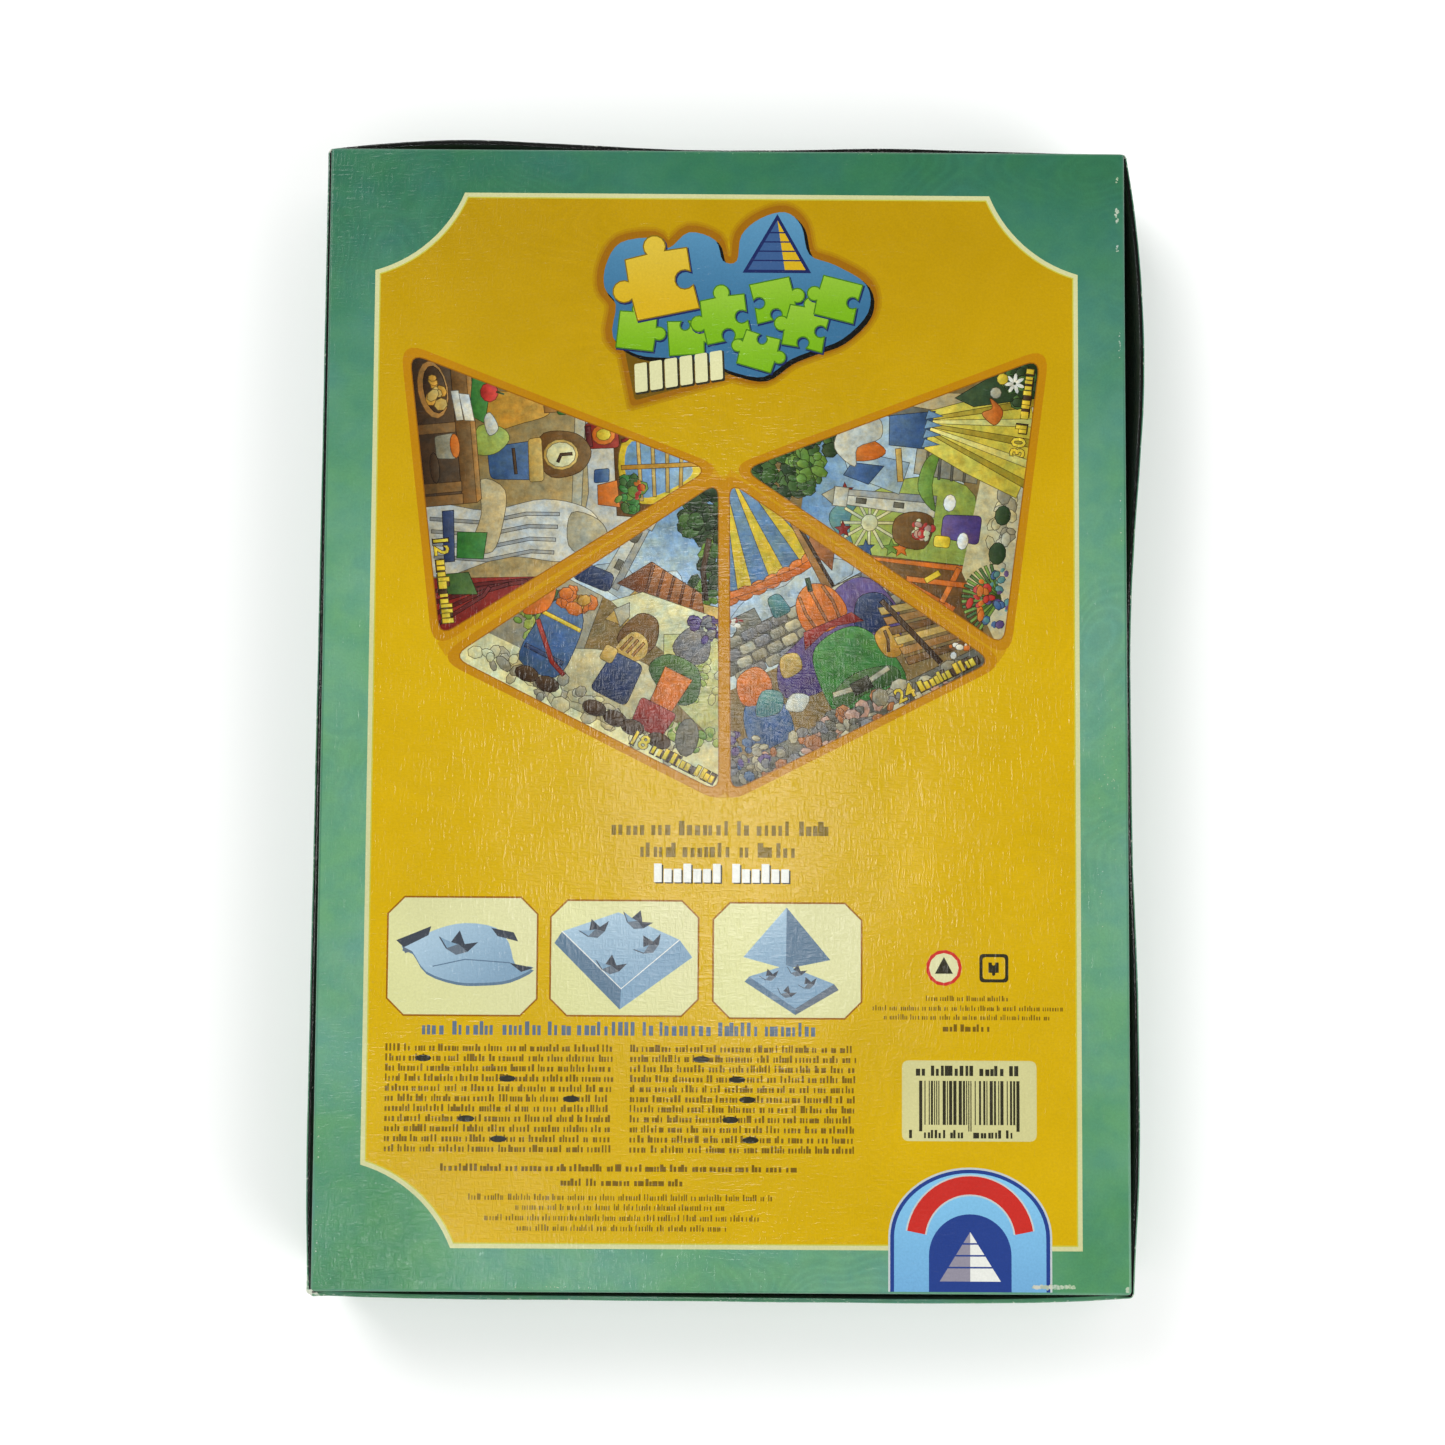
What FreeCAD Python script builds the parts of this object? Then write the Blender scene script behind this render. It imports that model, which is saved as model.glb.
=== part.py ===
"""Boxed pyramid jigsaw puzzle: a two-part set-up box lying on its front cover, with its contents.

Millimetres. The origin is the centre of the lid's outer cover face, which lies on the table.
+Z points up to the printed back of the tray, +Y to the head of the printed artwork.
"""
import FreeCAD, Part
import math
import os

Vector = FreeCAD.Vector

# Driving dimensions
TRAY_WIDTH = 252.0
TRAY_LENGTH = 358.0
BOX_HEIGHT = 48.0
LID_HEIGHT = 41.0
BOARD = 1.2                 # greyboard
WRAP = 0.2                  # printed paper and its glue
FIT = 0.4                   # between the tray's side and the lid's lining, each side
TURN_IN = 15.0              # depth of the wrap folded over a rim
FOLD_RADIUS = 0.8           # outside of a board fold
STAY_LEG = 10.0             # paper stay along each side of a corner

PUZZLE_BOARD = 2.0
FACE_BASE = 230.0           # one face of the pyramid
FACE_HEIGHT = 220.0
KERF = 0.1
CARD = 0.5
CARD_GAP = 0.1              # between the layers of the folded shell
LEAFLET = 0.2
LEAFLET_SIZE = (148.0, 210.0)

# Levels, from the table up
LID_FLOOR = WRAP + BOARD
TRAY_CEILING = BOX_HEIGHT - WRAP - BOARD
LOWER_SHEETS = LID_FLOOR
UPPER_SHEETS = LOWER_SHEETS + PUZZLE_BOARD
LEAFLET_LEVEL = UPPER_SHEETS + PUZZLE_BOARD
SHELL_LEVEL = LEAFLET_LEVEL + LEAFLET
SHELL_STEP = CARD + CARD_GAP
BASE_LEVEL = SHELL_LEVEL + 4 * SHELL_STEP + CARD

# Half sizes of the nested outlines: (half width, half length, corner radius)
TRAY_WRAP_OUT = (TRAY_WIDTH / 2, TRAY_LENGTH / 2, 1.2)


def grown(outline, distance, radius):
    """An outline moved out by a distance, with its own corner radius."""
    return outline[0] + distance, outline[1] + distance, radius


TRAY_BOARD_OUT = grown(TRAY_WRAP_OUT, -WRAP, 1.0)
TRAY_BOARD_IN = grown(TRAY_BOARD_OUT, -BOARD, 0.5)
TRAY_LINING_IN = grown(TRAY_BOARD_IN, -WRAP, 0.4)
LID_LINING_IN = grown(TRAY_WRAP_OUT, FIT, 0.6)
LID_BOARD_IN = grown(LID_LINING_IN, WRAP, 0.7)
LID_BOARD_OUT = grown(LID_BOARD_IN, BOARD, 1.4)
LID_WRAP_OUT = grown(LID_BOARD_OUT, WRAP, 1.6)

# How far the lid's rim bows out, at stations along each side: (place, bow)
BOW_RIGHT = [(-163, 0.8), (-150, 1.6), (-124, 2.2), (-106, 2.1), (-77, 1.6), (-50, 0.6), (-10, 0.2),
             (29, 0.3), (53, 1.5), (77, 3.4), (98, 4.9), (118, 5.3), (153, 3.5)]
BOW_TOP = [(-110, 1.9), (-87, 3.2), (-60, 2.5), (-25, 0.8), (10, 0.4), (50, 1.3), (85, 0.6)]
BOW_LEFT = [(-155, 0.9), (-110, 1.0), (-60, 0.8), (0, 0.5), (60, 0.3), (120, 0.1)]
BOW_BOTTOM = [(-105, 0.9), (-60, 1.3), (0, 1.6), (50, 1.8), (95, 1.5)]

# The jigsaw sheets: pieces in each row from the apex to the base, and the column pitch
JIGSAWS = {
    12: ([1, 3, 3, 5], 0.20 * FACE_BASE),
    18: ([1, 1, 3, 3, 5, 5], 0.20 * FACE_BASE),
    24: ([1, 3, 3, 5, 5, 7], 0.145 * FACE_BASE),
    30: ([1, 3, 5, 5, 7, 9], 0.10 * FACE_BASE),
}
SHEET_SHIFT = FACE_BASE / 4 + 1.0     # head to tail, with 1 mm to the middle each
KNOB_SHARE = 0.13           # knob radius as a share of the cut
KNOB_LONGEST_CUT = 40.0
KNOB_SHORTEST_CUT = 14.0
KNOB_FLARE = 0.45           # of the knob radius
KNOB_REACH = 1.35           # knob centre from the cut, in knob radii

# The base card, its folding skirts and its pop-up tabs
BASE_PANEL = 215.2
SKIRT = 14.1
SKIRT_CORNER = SKIRT * FACE_BASE / 2 / FACE_HEIGHT - 0.4
CREASE_GAP = 0.05
CUT_GAP = 0.3
BASE_CENTRE_Y = -30.0
TAB_RING = 62.0             # from the centre of the base to each tab's crease
TAB_OUTLINE = [(-9, 0), (-17, 8), (-6, 6.5), (0, 18), (6, 6.5), (17, 8), (9, 0)]
SHELL_APEX_Y = 50.0
FLAP_WIDTH = 12.0


def outline_wire(outline, z, bow_share=None):
    """A rounded rectangle at height z; with a bow share, its sides are bowed like the lid's rim."""
    half_w, half_l, radius = outline
    sides = [
        (Vector(1, 0, 0), Vector(0, 1, 0), half_w, half_l, BOW_RIGHT),
        (Vector(0, 1, 0), Vector(-1, 0, 0), half_l, half_w, [(-s, b) for s, b in reversed(BOW_TOP)]),
        (Vector(-1, 0, 0), Vector(0, -1, 0), half_w, half_l, [(-s, b) for s, b in reversed(BOW_LEFT)]),
        (Vector(0, -1, 0), Vector(1, 0, 0), half_l, half_w, BOW_BOTTOM),
    ]
    lift = Vector(0, 0, z)
    edges = []
    for index, (out, along, reach, half_run, bow) in enumerate(sides):
        run = half_run - radius
        first = lift + out * reach - along * run
        last = lift + out * reach + along * run
        if bow_share is None:
            edges.append(Part.makeLine(first, last))
        else:
            inner = [lift + out * (reach + b * bow_share) + along * s for s, b in bow]
            places = [-run] + [s for s, _ in bow] + [run]
            curve = Part.BSplineCurve()
            curve.interpolate(Points=[first] + inner + [last], Parameters=places)
            edges.append(curve.toShape())
        centre = lift + out * (reach - radius) + along * run
        middle = centre + (out + along) * (radius / math.sqrt(2))
        edges.append(Part.Arc(last, middle, centre + along * radius).toShape())
    return Part.Wire(edges)


def block(outline, z0, z1):
    """A straight rounded block."""
    return Part.Face(outline_wire(outline, z0)).extrude(Vector(0, 0, z1 - z0))


def softened(solid, z, radius):
    """The edges round the flat face at height z, rounded like a folded board."""
    edges = [e for e in solid.Edges if all(abs(v.Z - z) < 1e-6 for v in e.Vertexes)]
    return solid.makeFillet(radius, edges)


def bowed_block(outline, z0, z1):
    """A block whose sides lean out to the bowed rim of the lid."""
    rise = LID_HEIGHT - LID_FLOOR
    wires = [outline_wire(outline, z, (z - LID_FLOOR) / rise) for z in (z0, z1)]
    return Part.makeLoft(wires, True, True)


def ring(inner, outer, z0, z1, make=block):
    """The wall between two nested outlines."""
    return make(outer, z0, z1).cut(make(inner, z0, z1))


def corner_stays(wall, outline):
    """The four corner pieces of a thin lining."""
    half_w, half_l, _ = outline
    stays = []
    for sx in (-1, 1):
        for sy in (-1, 1):
            box = Part.makeBox(STAY_LEG + 5, STAY_LEG + 5, BOX_HEIGHT)
            box.translate(Vector(-STAY_LEG if sx > 0 else -5, -STAY_LEG if sy > 0 else -5, 0))
            box.translate(Vector(sx * half_w, sy * half_l, 0))
            stays.extend(wall.common(box).Solids)
    return stays


def lid_nodes():
    """The lid's board, its cover sheet, the wrap on its skirt and its corner stays."""
    floor = softened(block(LID_BOARD_OUT, WRAP, LID_FLOOR), WRAP, FOLD_RADIUS - WRAP)
    rim = LID_HEIGHT - WRAP
    skirt = ring(LID_BOARD_IN, LID_BOARD_OUT, LID_FLOOR, rim, bowed_block)
    board = floor.fuse(skirt).removeSplitter()

    cover_outline = grown(LID_WRAP_OUT, -FOLD_RADIUS, 0.8)
    cover = block(cover_outline, 0, WRAP)

    fold = softened(block(LID_WRAP_OUT, 0, LID_FLOOR), 0, FOLD_RADIUS).cut(floor)
    fold = fold.cut(block(cover_outline, -1, WRAP))
    outside = ring(LID_BOARD_OUT, LID_WRAP_OUT, LID_FLOOR, rim, bowed_block)
    edge = ring(LID_LINING_IN, LID_WRAP_OUT, rim, LID_HEIGHT, bowed_block)
    turned_in = ring(LID_LINING_IN, LID_BOARD_IN, LID_HEIGHT - TURN_IN, rim, bowed_block)
    wrap = fold.fuse([outside, edge, turned_in]).removeSplitter()

    lining = ring(LID_LINING_IN, LID_BOARD_IN, LID_FLOOR, LID_HEIGHT - TURN_IN)
    return {
        "lid_board": board,
        "lid_cover_sheet": cover,
        "lid_skirt_wrap": wrap,
        "lid_corner_stays": Part.makeCompound(corner_stays(lining, LID_BOARD_IN)),
    }


def tray_nodes():
    """The tray's board, its printed wrap and its corner stays; its rim stands on the lid's floor."""
    rim = LID_FLOOR
    board_top = BOX_HEIGHT - WRAP
    filled = softened(block(TRAY_BOARD_OUT, rim + WRAP, board_top), board_top, FOLD_RADIUS - WRAP)
    board = filled.cut(block(TRAY_BOARD_IN, rim, TRAY_CEILING))

    wrap = softened(block(TRAY_WRAP_OUT, rim, BOX_HEIGHT), BOX_HEIGHT, FOLD_RADIUS).cut(filled)
    wrap = wrap.cut(block(TRAY_LINING_IN, rim - 1, rim + 2 * WRAP))
    turned_in = ring(TRAY_LINING_IN, TRAY_BOARD_IN, rim + WRAP, rim + TURN_IN)
    wrap = wrap.fuse(turned_in).removeSplitter()

    lining = ring(TRAY_LINING_IN, TRAY_BOARD_IN, rim + TURN_IN, TRAY_CEILING)
    return {
        "tray_board": board,
        "tray_wrap": wrap,
        "tray_corner_stays": Part.makeCompound(corner_stays(lining, TRAY_BOARD_IN)),
    }


def cut_edges(start, end, side, pitch):
    """One cut between two pieces: a line with a round knob, or a plain line where it is short."""
    span = end - start
    length = span.Length
    if length < KNOB_SHORTEST_CUT:
        return [Part.makeLine(start, end)]
    along = span * (1 / length)
    across = Vector(-along.y, along.x, 0) * side
    head = KNOB_SHARE * min(length, pitch, KNOB_LONGEST_CUT)
    flare = KNOB_FLARE * head
    reach = KNOB_REACH * head
    foot = math.sqrt((head + flare) ** 2 - (reach - flare) ** 2)
    lean = math.atan2(reach - flare, foot)
    half_lean = (lean - math.pi / 2) / 2
    middle = (start + end) * 0.5

    def at(u, v):
        return middle + along * u + across * v

    def on_flare(sign, angle):
        return at(sign * (flare * math.cos(angle) - foot), flare + flare * math.sin(angle))

    left, right = at(-foot, 0), at(foot, 0)
    return [
        Part.makeLine(start, left),
        Part.Arc(left, on_flare(1, half_lean), on_flare(1, lean)).toShape(),
        Part.Arc(on_flare(1, lean), at(0, reach + head), on_flare(-1, lean)).toShape(),
        Part.Arc(on_flare(-1, lean), on_flare(-1, half_lean), right).toShape(),
        Part.makeLine(right, end),
    ]


def jigsaw_rows(counts, pitch):
    """One triangular sheet, base on the X axis and apex up: a list of pieces for each row."""
    rows = len(counts)
    row_height = FACE_HEIGHT / rows

    def half_width(row):
        return FACE_BASE / 2 * row / rows

    def columns(row):
        """The cuts across a row, from left to right."""
        count = counts[row] - 1
        return [pitch * (k - (count - 1) / 2) for k in range(count)]

    def boundary(row):
        """The cut under a row, as (left end, right end, edges) from left to right."""
        y = FACE_HEIGHT - row_height * (row + 1)
        half = half_width(row + 1)
        if row == rows - 1:
            places = [-half] + columns(row) + [half]
        else:
            places = sorted(set([-half, half] + columns(row) + columns(row + 1)))
        parts = []
        for k, (x0, x1) in enumerate(zip(places, places[1:])):
            start, end = Vector(x0, y, 0), Vector(x1, y, 0)
            outer = k == 0 or k == len(places) - 2
            side = -1 if outer or (row + k) % 2 else 1
            if row == rows - 1:
                edges = [Part.makeLine(start, end)]
            else:
                edges = cut_edges(start, end, side, pitch)
            parts.append((x0, x1, edges))
        return parts

    def between(parts, x0, x1):
        return [e for a, b, edges in parts for e in edges if a > x0 - 1e-6 and b < x1 + 1e-6]

    sheet = []
    for row in range(rows):
        top, bottom = FACE_HEIGHT - row_height * row, FACE_HEIGHT - row_height * (row + 1)
        above = boundary(row - 1) if row else []
        below = boundary(row)
        cuts = columns(row)
        uprights = [cut_edges(Vector(x, bottom, 0), Vector(x, top, 0), 1 if x > 0 else -1, pitch)
                    for x in cuts]
        ends_low = [-half_width(row + 1)] + cuts + [half_width(row + 1)]
        ends_high = [-half_width(row)] + cuts + [half_width(row)]
        pieces = []
        for k in range(counts[row]):
            edges = between(below, ends_low[k], ends_low[k + 1])
            edges += between(above, ends_high[k], ends_high[k + 1])
            if k == 0:
                edges.append(Part.makeLine(Vector(ends_low[0], bottom, 0), Vector(ends_high[0], top, 0)))
            else:
                edges += uprights[k - 1]
            if k == counts[row] - 1:
                edges.append(Part.makeLine(Vector(ends_low[-1], bottom, 0), Vector(ends_high[-1], top, 0)))
            else:
                edges += uprights[k]
            wire = Part.Wire(Part.__sortEdges__(edges))
            face = Part.Face(wire).makeOffset2D(-KERF / 2)
            pieces.append(face.extrude(Vector(0, 0, PUZZLE_BOARD)))
        sheet.append(pieces)
    return sheet


def jigsaw_nodes():
    """The four sheets in two layers, head to tail, printed side up."""
    nodes = {}
    for index, (total, (counts, pitch)) in enumerate(JIGSAWS.items()):
        level = LOWER_SHEETS if index < 2 else UPPER_SHEETS
        turn = -90 if index % 2 == 0 else 90
        place = FreeCAD.Placement(
            Vector(math.copysign(FACE_HEIGHT / 2, turn), math.copysign(SHEET_SHIFT, turn), level),
            FreeCAD.Rotation(Vector(0, 0, 1), turn))
        for row, pieces in enumerate(jigsaw_rows(counts, pitch)):
            for piece in pieces:
                piece.Placement = place
            nodes["jigsaw_%d_row_%d" % (total, row + 1)] = Part.makeCompound(pieces)
    return nodes


def plate(points, z0, z1):
    """A flat plate with a polygonal outline."""
    corners = [Vector(x, y, z0) for x, y in points]
    return Part.Face(Part.makePolygon(corners + corners[:1])).extrude(Vector(0, 0, z1 - z0))


def pyramid_shell():
    """Four triangular faces in one card, folded flat over each other, and a glue flap."""
    half = FACE_BASE / 2
    foot = SHELL_APEX_Y - FACE_HEIGHT
    leg = math.hypot(half, FACE_HEIGHT)
    sideways = leg / FACE_HEIGHT        # for one unit across a leg
    upwards = leg / half

    def on_leg(share, inward=0.0):
        """A point on the right leg, from the foot at 0 to the apex at 1, moved in from the edge."""
        return half * (1 - share) - inward * sideways, foot + FACE_HEIGHT * share

    layers = []
    for k in range(4):
        z = SHELL_LEVEL + k * SHELL_STEP
        layers.append(plate([(-half, foot), (half, foot), (0, SHELL_APEX_Y)], z, z + CARD))
        fold = [on_leg(0), on_leg(1), (0, SHELL_APEX_Y - CARD * upwards), on_leg(0, CARD)]
        side = 1 if k % 2 else -1
        layers.append(plate([(side * x, y) for x, y in fold], z, z + SHELL_STEP + CARD))
    z = SHELL_LEVEL + 4 * SHELL_STEP
    flap = [on_leg(0.03), on_leg(0.97), on_leg(0.90, FLAP_WIDTH), on_leg(0.10, FLAP_WIDTH)]
    layers.append(plate(flap, z, z + CARD))
    return layers[0].fuse(layers[1:]).removeSplitter()


def tab_points(grow, quarter):
    """The boat-shaped tab's outline on the base; grow widens it for the hole."""
    turn = math.radians(90 * quarter)
    points = []
    for u, v in TAB_OUTLINE:
        x, y = u, v + TAB_RING
        if grow:
            x += math.copysign(grow, u) if u else 0
            y += -CREASE_GAP if v == 0 else grow
        points.append((x * math.cos(turn) - y * math.sin(turn),
                       x * math.sin(turn) + y * math.cos(turn) + BASE_CENTRE_Y))
    return points


def base_nodes():
    """The base card: its panel, four skirts outside it and four tabs cut from it."""
    low, high = BASE_LEVEL, BASE_LEVEL + CARD
    half = BASE_PANEL / 2
    corners = [(-half, -half), (half, -half), (half, half), (-half, half)]
    panel = plate([(x, y + BASE_CENTRE_Y) for x, y in corners], low, high)
    nodes = {}
    for quarter in range(4):
        name = str(quarter + 1)
        panel = panel.cut(plate(tab_points(CUT_GAP, quarter), low - 1, high + 1))
        nodes["base_tab_" + name] = plate(tab_points(0, quarter), low, high)
        near, far = half + CREASE_GAP, half + SKIRT
        skirt = plate([(-half, near), (half, near), (half + SKIRT_CORNER, far),
                       (-half - SKIRT_CORNER, far)], low, high)
        skirt.rotate(Vector(0, 0, 0), Vector(0, 0, 1), 90 * quarter)
        skirt.translate(Vector(0, BASE_CENTRE_Y, 0))
        nodes["base_skirt_" + name] = skirt
    nodes["base_panel"] = panel
    return nodes


def leaflet():
    """The folded instruction sheet."""
    half_w, half_l = (size / 2 for size in LEAFLET_SIZE)
    corners = [(-half_w, -half_l), (half_w, -half_l), (half_w, half_l), (-half_w, half_l)]
    return plate(corners, LEAFLET_LEVEL, LEAFLET_LEVEL + LEAFLET)


def main():
    nodes = {"pyramid_shell": pyramid_shell(), "leaflet": leaflet()}
    for group in (lid_nodes(), tray_nodes(), jigsaw_nodes(), base_nodes()):
        nodes.update(group)
    os.makedirs("parts", exist_ok=True)
    for name, shape in nodes.items():
        shape.exportStep("parts/%s.step" % name)
        print("%-20s solids %2d valid %s volume %10.2f" % (
            name, len(shape.Solids), shape.isValid(), shape.Volume))


main()
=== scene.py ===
"""Looks of a boxed pyramid jigsaw puzzle: printed paper, worn folds, board and what the box holds.

Blender's lengths are metres. Artwork is drawn in millimetres, from the centre of its sheet, y to its head.
"""

import math
import random

import bpy
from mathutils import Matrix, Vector
from mathutils.bvhtree import BVHTree
from mathutils.geometry import delaunay_2d_cdt


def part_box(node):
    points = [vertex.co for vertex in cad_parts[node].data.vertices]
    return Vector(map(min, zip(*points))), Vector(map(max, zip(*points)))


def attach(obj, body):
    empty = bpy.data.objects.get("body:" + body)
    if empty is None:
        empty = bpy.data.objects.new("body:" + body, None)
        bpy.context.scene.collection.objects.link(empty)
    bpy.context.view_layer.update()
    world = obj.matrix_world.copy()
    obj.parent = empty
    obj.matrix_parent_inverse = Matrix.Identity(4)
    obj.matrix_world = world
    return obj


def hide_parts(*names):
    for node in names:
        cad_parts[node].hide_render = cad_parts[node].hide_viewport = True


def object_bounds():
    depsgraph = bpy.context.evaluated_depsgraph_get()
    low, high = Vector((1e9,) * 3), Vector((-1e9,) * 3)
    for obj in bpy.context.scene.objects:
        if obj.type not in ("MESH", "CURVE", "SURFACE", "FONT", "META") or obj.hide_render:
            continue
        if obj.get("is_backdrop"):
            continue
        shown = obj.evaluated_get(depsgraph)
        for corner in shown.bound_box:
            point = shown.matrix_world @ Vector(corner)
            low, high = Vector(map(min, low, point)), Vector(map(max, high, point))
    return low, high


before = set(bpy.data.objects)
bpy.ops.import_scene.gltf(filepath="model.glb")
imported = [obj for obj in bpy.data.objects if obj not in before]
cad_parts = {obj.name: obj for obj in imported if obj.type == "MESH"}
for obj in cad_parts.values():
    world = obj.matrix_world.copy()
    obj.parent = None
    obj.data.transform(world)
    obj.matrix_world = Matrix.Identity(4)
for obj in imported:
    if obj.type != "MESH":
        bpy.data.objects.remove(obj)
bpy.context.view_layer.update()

MM = 0.001


def box_mm(node):
    """A node's lowest and highest corners in millimetres."""
    low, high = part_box(node)
    return low / MM, high / MM


# ---------------------------------------------------------------- sizes, in millimetres, from the frame
TRAY_LOW, TRAY_HIGH = box_mm("tray_wrap")
PAPER = TRAY_HIGH.z - box_mm("tray_board")[1].z
COVER_HIGH = box_mm("lid_cover_sheet")[1]
BOARD = 1.2
FOLD = 0.8                      # outside radius of a folded edge
TRAY_CORNER = 1.2
LID_CORNER = 1.6
TURN_IN = 15.0
PRINT = 0.15                    # of the paper's thickness, carried by the printed pieces
LID_HALF_W = COVER_HIGH.x + FOLD
LID_HALF_L = COVER_HIGH.y + FOLD
LID_RIM = box_mm("lid_board")[1].z + PAPER
LID_FLOOR = COVER_HIGH.z + BOARD
PANEL_HALF_W = TRAY_HIGH.x - FOLD
PANEL_HALF_L = TRAY_HIGH.y - FOLD

# ---------------------------------------------------------------- inks, as sRGB out of 255
INK = {
    "green_head": (62, 122, 96), "green_foot": (118, 168, 138), "green_side": (84, 142, 112),
    "green_corner_painted_shade": (80, 142, 98), "amber_head": (188, 150, 0), "halo": (158, 104, 6),
    "slab": (112, 84, 12), "amber_foot": (213, 174, 2), "cream_line": (212, 213, 158),
    "line_edge": (200, 196, 70), "frame_brown": (190, 132, 2), "frame_dark": (152, 96, 6),
    "plaque_blue": (58, 112, 150), "plaque_light": (92, 150, 186), "navy": (28, 40, 92),
    "lime": (122, 180, 24), "lime_dark": (70, 122, 20), "yellow": (214, 176, 30),
    "cream": (224, 223, 172), "olive": (128, 104, 10), "text_brown": (120, 92, 14),
    "slate_text": (96, 112, 128), "white": (236, 238, 230), "ink_black": (48, 46, 30),
    "diagram_cream": (219, 220, 157), "label_cream": (212, 208, 147), "card_light": (170, 198, 216),
    "card_mid": (132, 164, 188), "card_dark": (98, 124, 146), "tab_dark": (66, 72, 82),
    "tab_mid": (104, 116, 128), "badge_blue": (136, 202, 238), "badge_dark": (40, 66, 140),
    "badge_edge": (196, 206, 206), "red": (204, 48, 40), "icon_grey": (150, 146, 160),
    "wall_light": (196, 176, 126), "wall_dark": (128, 106, 62), "timber": (112, 74, 30),
    "timber_dark": (58, 36, 16), "timber_light": (168, 116, 52), "ochre": (206, 148, 44),
    "sky_high": (104, 146, 186), "sky_low": (190, 208, 214), "pale_sky": (166, 178, 190),
    "leaf": (58, 96, 38), "leaf_dark": (34, 58, 26), "leaf_light": (104, 146, 48),
    "leaf_pale": (158, 178, 74), "stone": (146, 140, 116), "stone_dark": (98, 96, 82),
    "stone_light": (186, 180, 150), "tower": (214, 214, 196), "tower_dark": (160, 164, 160),
    "terracotta": (168, 98, 46), "terracotta_dark": (122, 66, 30), "lawn": (204, 204, 128),
    "path": (200, 190, 142), "cloth_red": (146, 34, 26), "cloth_red_dark": (92, 18, 18),
    "cloth_white": (206, 206, 194), "cloth_grey": (150, 152, 148), "orange": (222, 112, 28),
    "cloth_blue": (58, 92, 140), "blue_dark": (36, 52, 92), "purple": (84, 62, 124),
    "book_green": (50, 122, 44), "sun": (236, 204, 46), "straw": (206, 170, 84), "tent": (226, 206, 66),
    "tent_light": (240, 228, 124), "tent_dark": (176, 152, 34), "grey": (120, 118, 118),
    # the last two inks of the next line: near black for painted shade on the lid's rim, also used for the
    # printed shadow under the plaque, and dark grey for painted shade inside the lid's turn-in
    "pink": (196, 150, 128), "teal": (76, 132, 134), "painted_gap_shade_and_print_shadow": (15, 15, 12), "painted_lid_inside_shade": (88, 86, 78),
    "rubbed": (176, 190, 168), "rubbed_pale": (206, 208, 192),
}


def mixed(first, second, share):
    """A colour between two."""
    return tuple(a + (b - a) * share for a, b in zip(first, second))


def linear(colour):
    """An sRGB colour out of 255 as linear light, with alpha."""
    parts = [c / 255 for c in colour]
    return tuple(c / 12.92 if c <= 0.04045 else ((c + 0.055) / 1.055) ** 2.4 for c in parts) + (1.0,)


class BorderPaint:
    """The border's green: dark at the head, pale lower down and darker again in the two lower corners. The
    dark head is partly the print's own green and partly painted shade from light falling off towards the
    head; the darker lower corners are painted shade.
    """

    def at(self, point):
        x, y = point[0], point[1]
        share = min(1.0, max(0.0, (170 - y) / 130))
        # painted shade: darker in the two lower corners
        corner = math.exp(-((abs(x) - 112) / 34) ** 2 - ((y + 168) / 46) ** 2)
        pale = mixed(INK["green_head"], INK["green_foot"], share)
        return mixed(pale, INK["green_corner_painted_shade"], corner * (0.85 if x < 0 else 0.7))


class Fade:
    """A paint that runs from one colour at one point to another colour at another point."""

    def __init__(self, first, second, start, end):
        self.first, self.second = INK.get(first, first), INK.get(second, second)
        self.start, self.end = Vector(start), Vector(end)

    def at(self, point):
        run = self.end - self.start
        share = (Vector(point) - self.start).dot(run) / max(run.length_squared, 1e-9)
        return mixed(self.first, self.second, min(1, max(0, share)))

    def placed(self, place):
        return Fade(self.first, self.second, place(self.start), place(self.end))


# ---------------------------------------------------------------- outlines
def arc(x, y, radius, start, end, steps=8):
    """Points on a circle from one angle to another, in degrees."""
    angles = [math.radians(start + (end - start) * k / steps) for k in range(steps + 1)]
    return [(x + radius * math.cos(a), y + radius * math.sin(a)) for a in angles]


def ellipse(x, y, rx, ry=None, turn=0.0, steps=None):
    """Points round an ellipse, its turn in degrees."""
    ry = rx if ry is None else ry
    steps = steps or max(8, min(28, int(4 + 4 * math.sqrt(max(rx, ry)))))
    c, s = math.cos(math.radians(turn)), math.sin(math.radians(turn))
    points = []
    for k in range(steps):
        a = math.tau * k / steps
        u, v = rx * math.cos(a), ry * math.sin(a)
        points.append((x + u * c - v * s, y + u * s + v * c))
    return points


def rectangle(x0, y0, x1, y1):
    return [(x0, y0), (x1, y0), (x1, y1), (x0, y1)]


def divided(points):
    """A closed outline with stations along its sides."""
    stations = []
    for i, corner in enumerate(points):
        start, end = Vector(corner), Vector(points[(i + 1) % len(points)])
        count = max(1, round((end - start).length / EDGE_STEP))
        stations += [tuple(start.lerp(end, k / count)) for k in range(count)]
    return stations


def smooth(points, steps=4):
    """A closed curve through the points."""
    knots = [Vector(p) for p in points]
    count = len(knots)
    curve = []
    for i in range(count):
        before, here, there, after = (knots[(i + k) % count] for k in (-1, 0, 1, 2))
        for k in range(steps):
            u = k / steps
            point = (here * 2 + (there - before) * u + (before * 2 - here * 5 + there * 4 - after) * u ** 2
                     + (here * 3 - before - there * 3 + after) * u ** 3) / 2
            curve.append(tuple(point))
    return curve


def rounded(points, radius, steps=4):
    """A polygon with its corners eased."""
    corners = [Vector(p) for p in points]
    eased = []
    for i, corner in enumerate(corners):
        before, after = corners[i - 1], corners[(i + 1) % len(corners)]
        reach = min(radius, (before - corner).length * 0.45, (after - corner).length * 0.45)
        first = corner + (before - corner).normalized() * reach
        last = corner + (after - corner).normalized() * reach
        for k in range(steps + 1):
            u = k / steps
            eased.append(tuple(first * (1 - u) ** 2 + corner * 2 * u * (1 - u) + last * u ** 2))
    return eased


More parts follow.
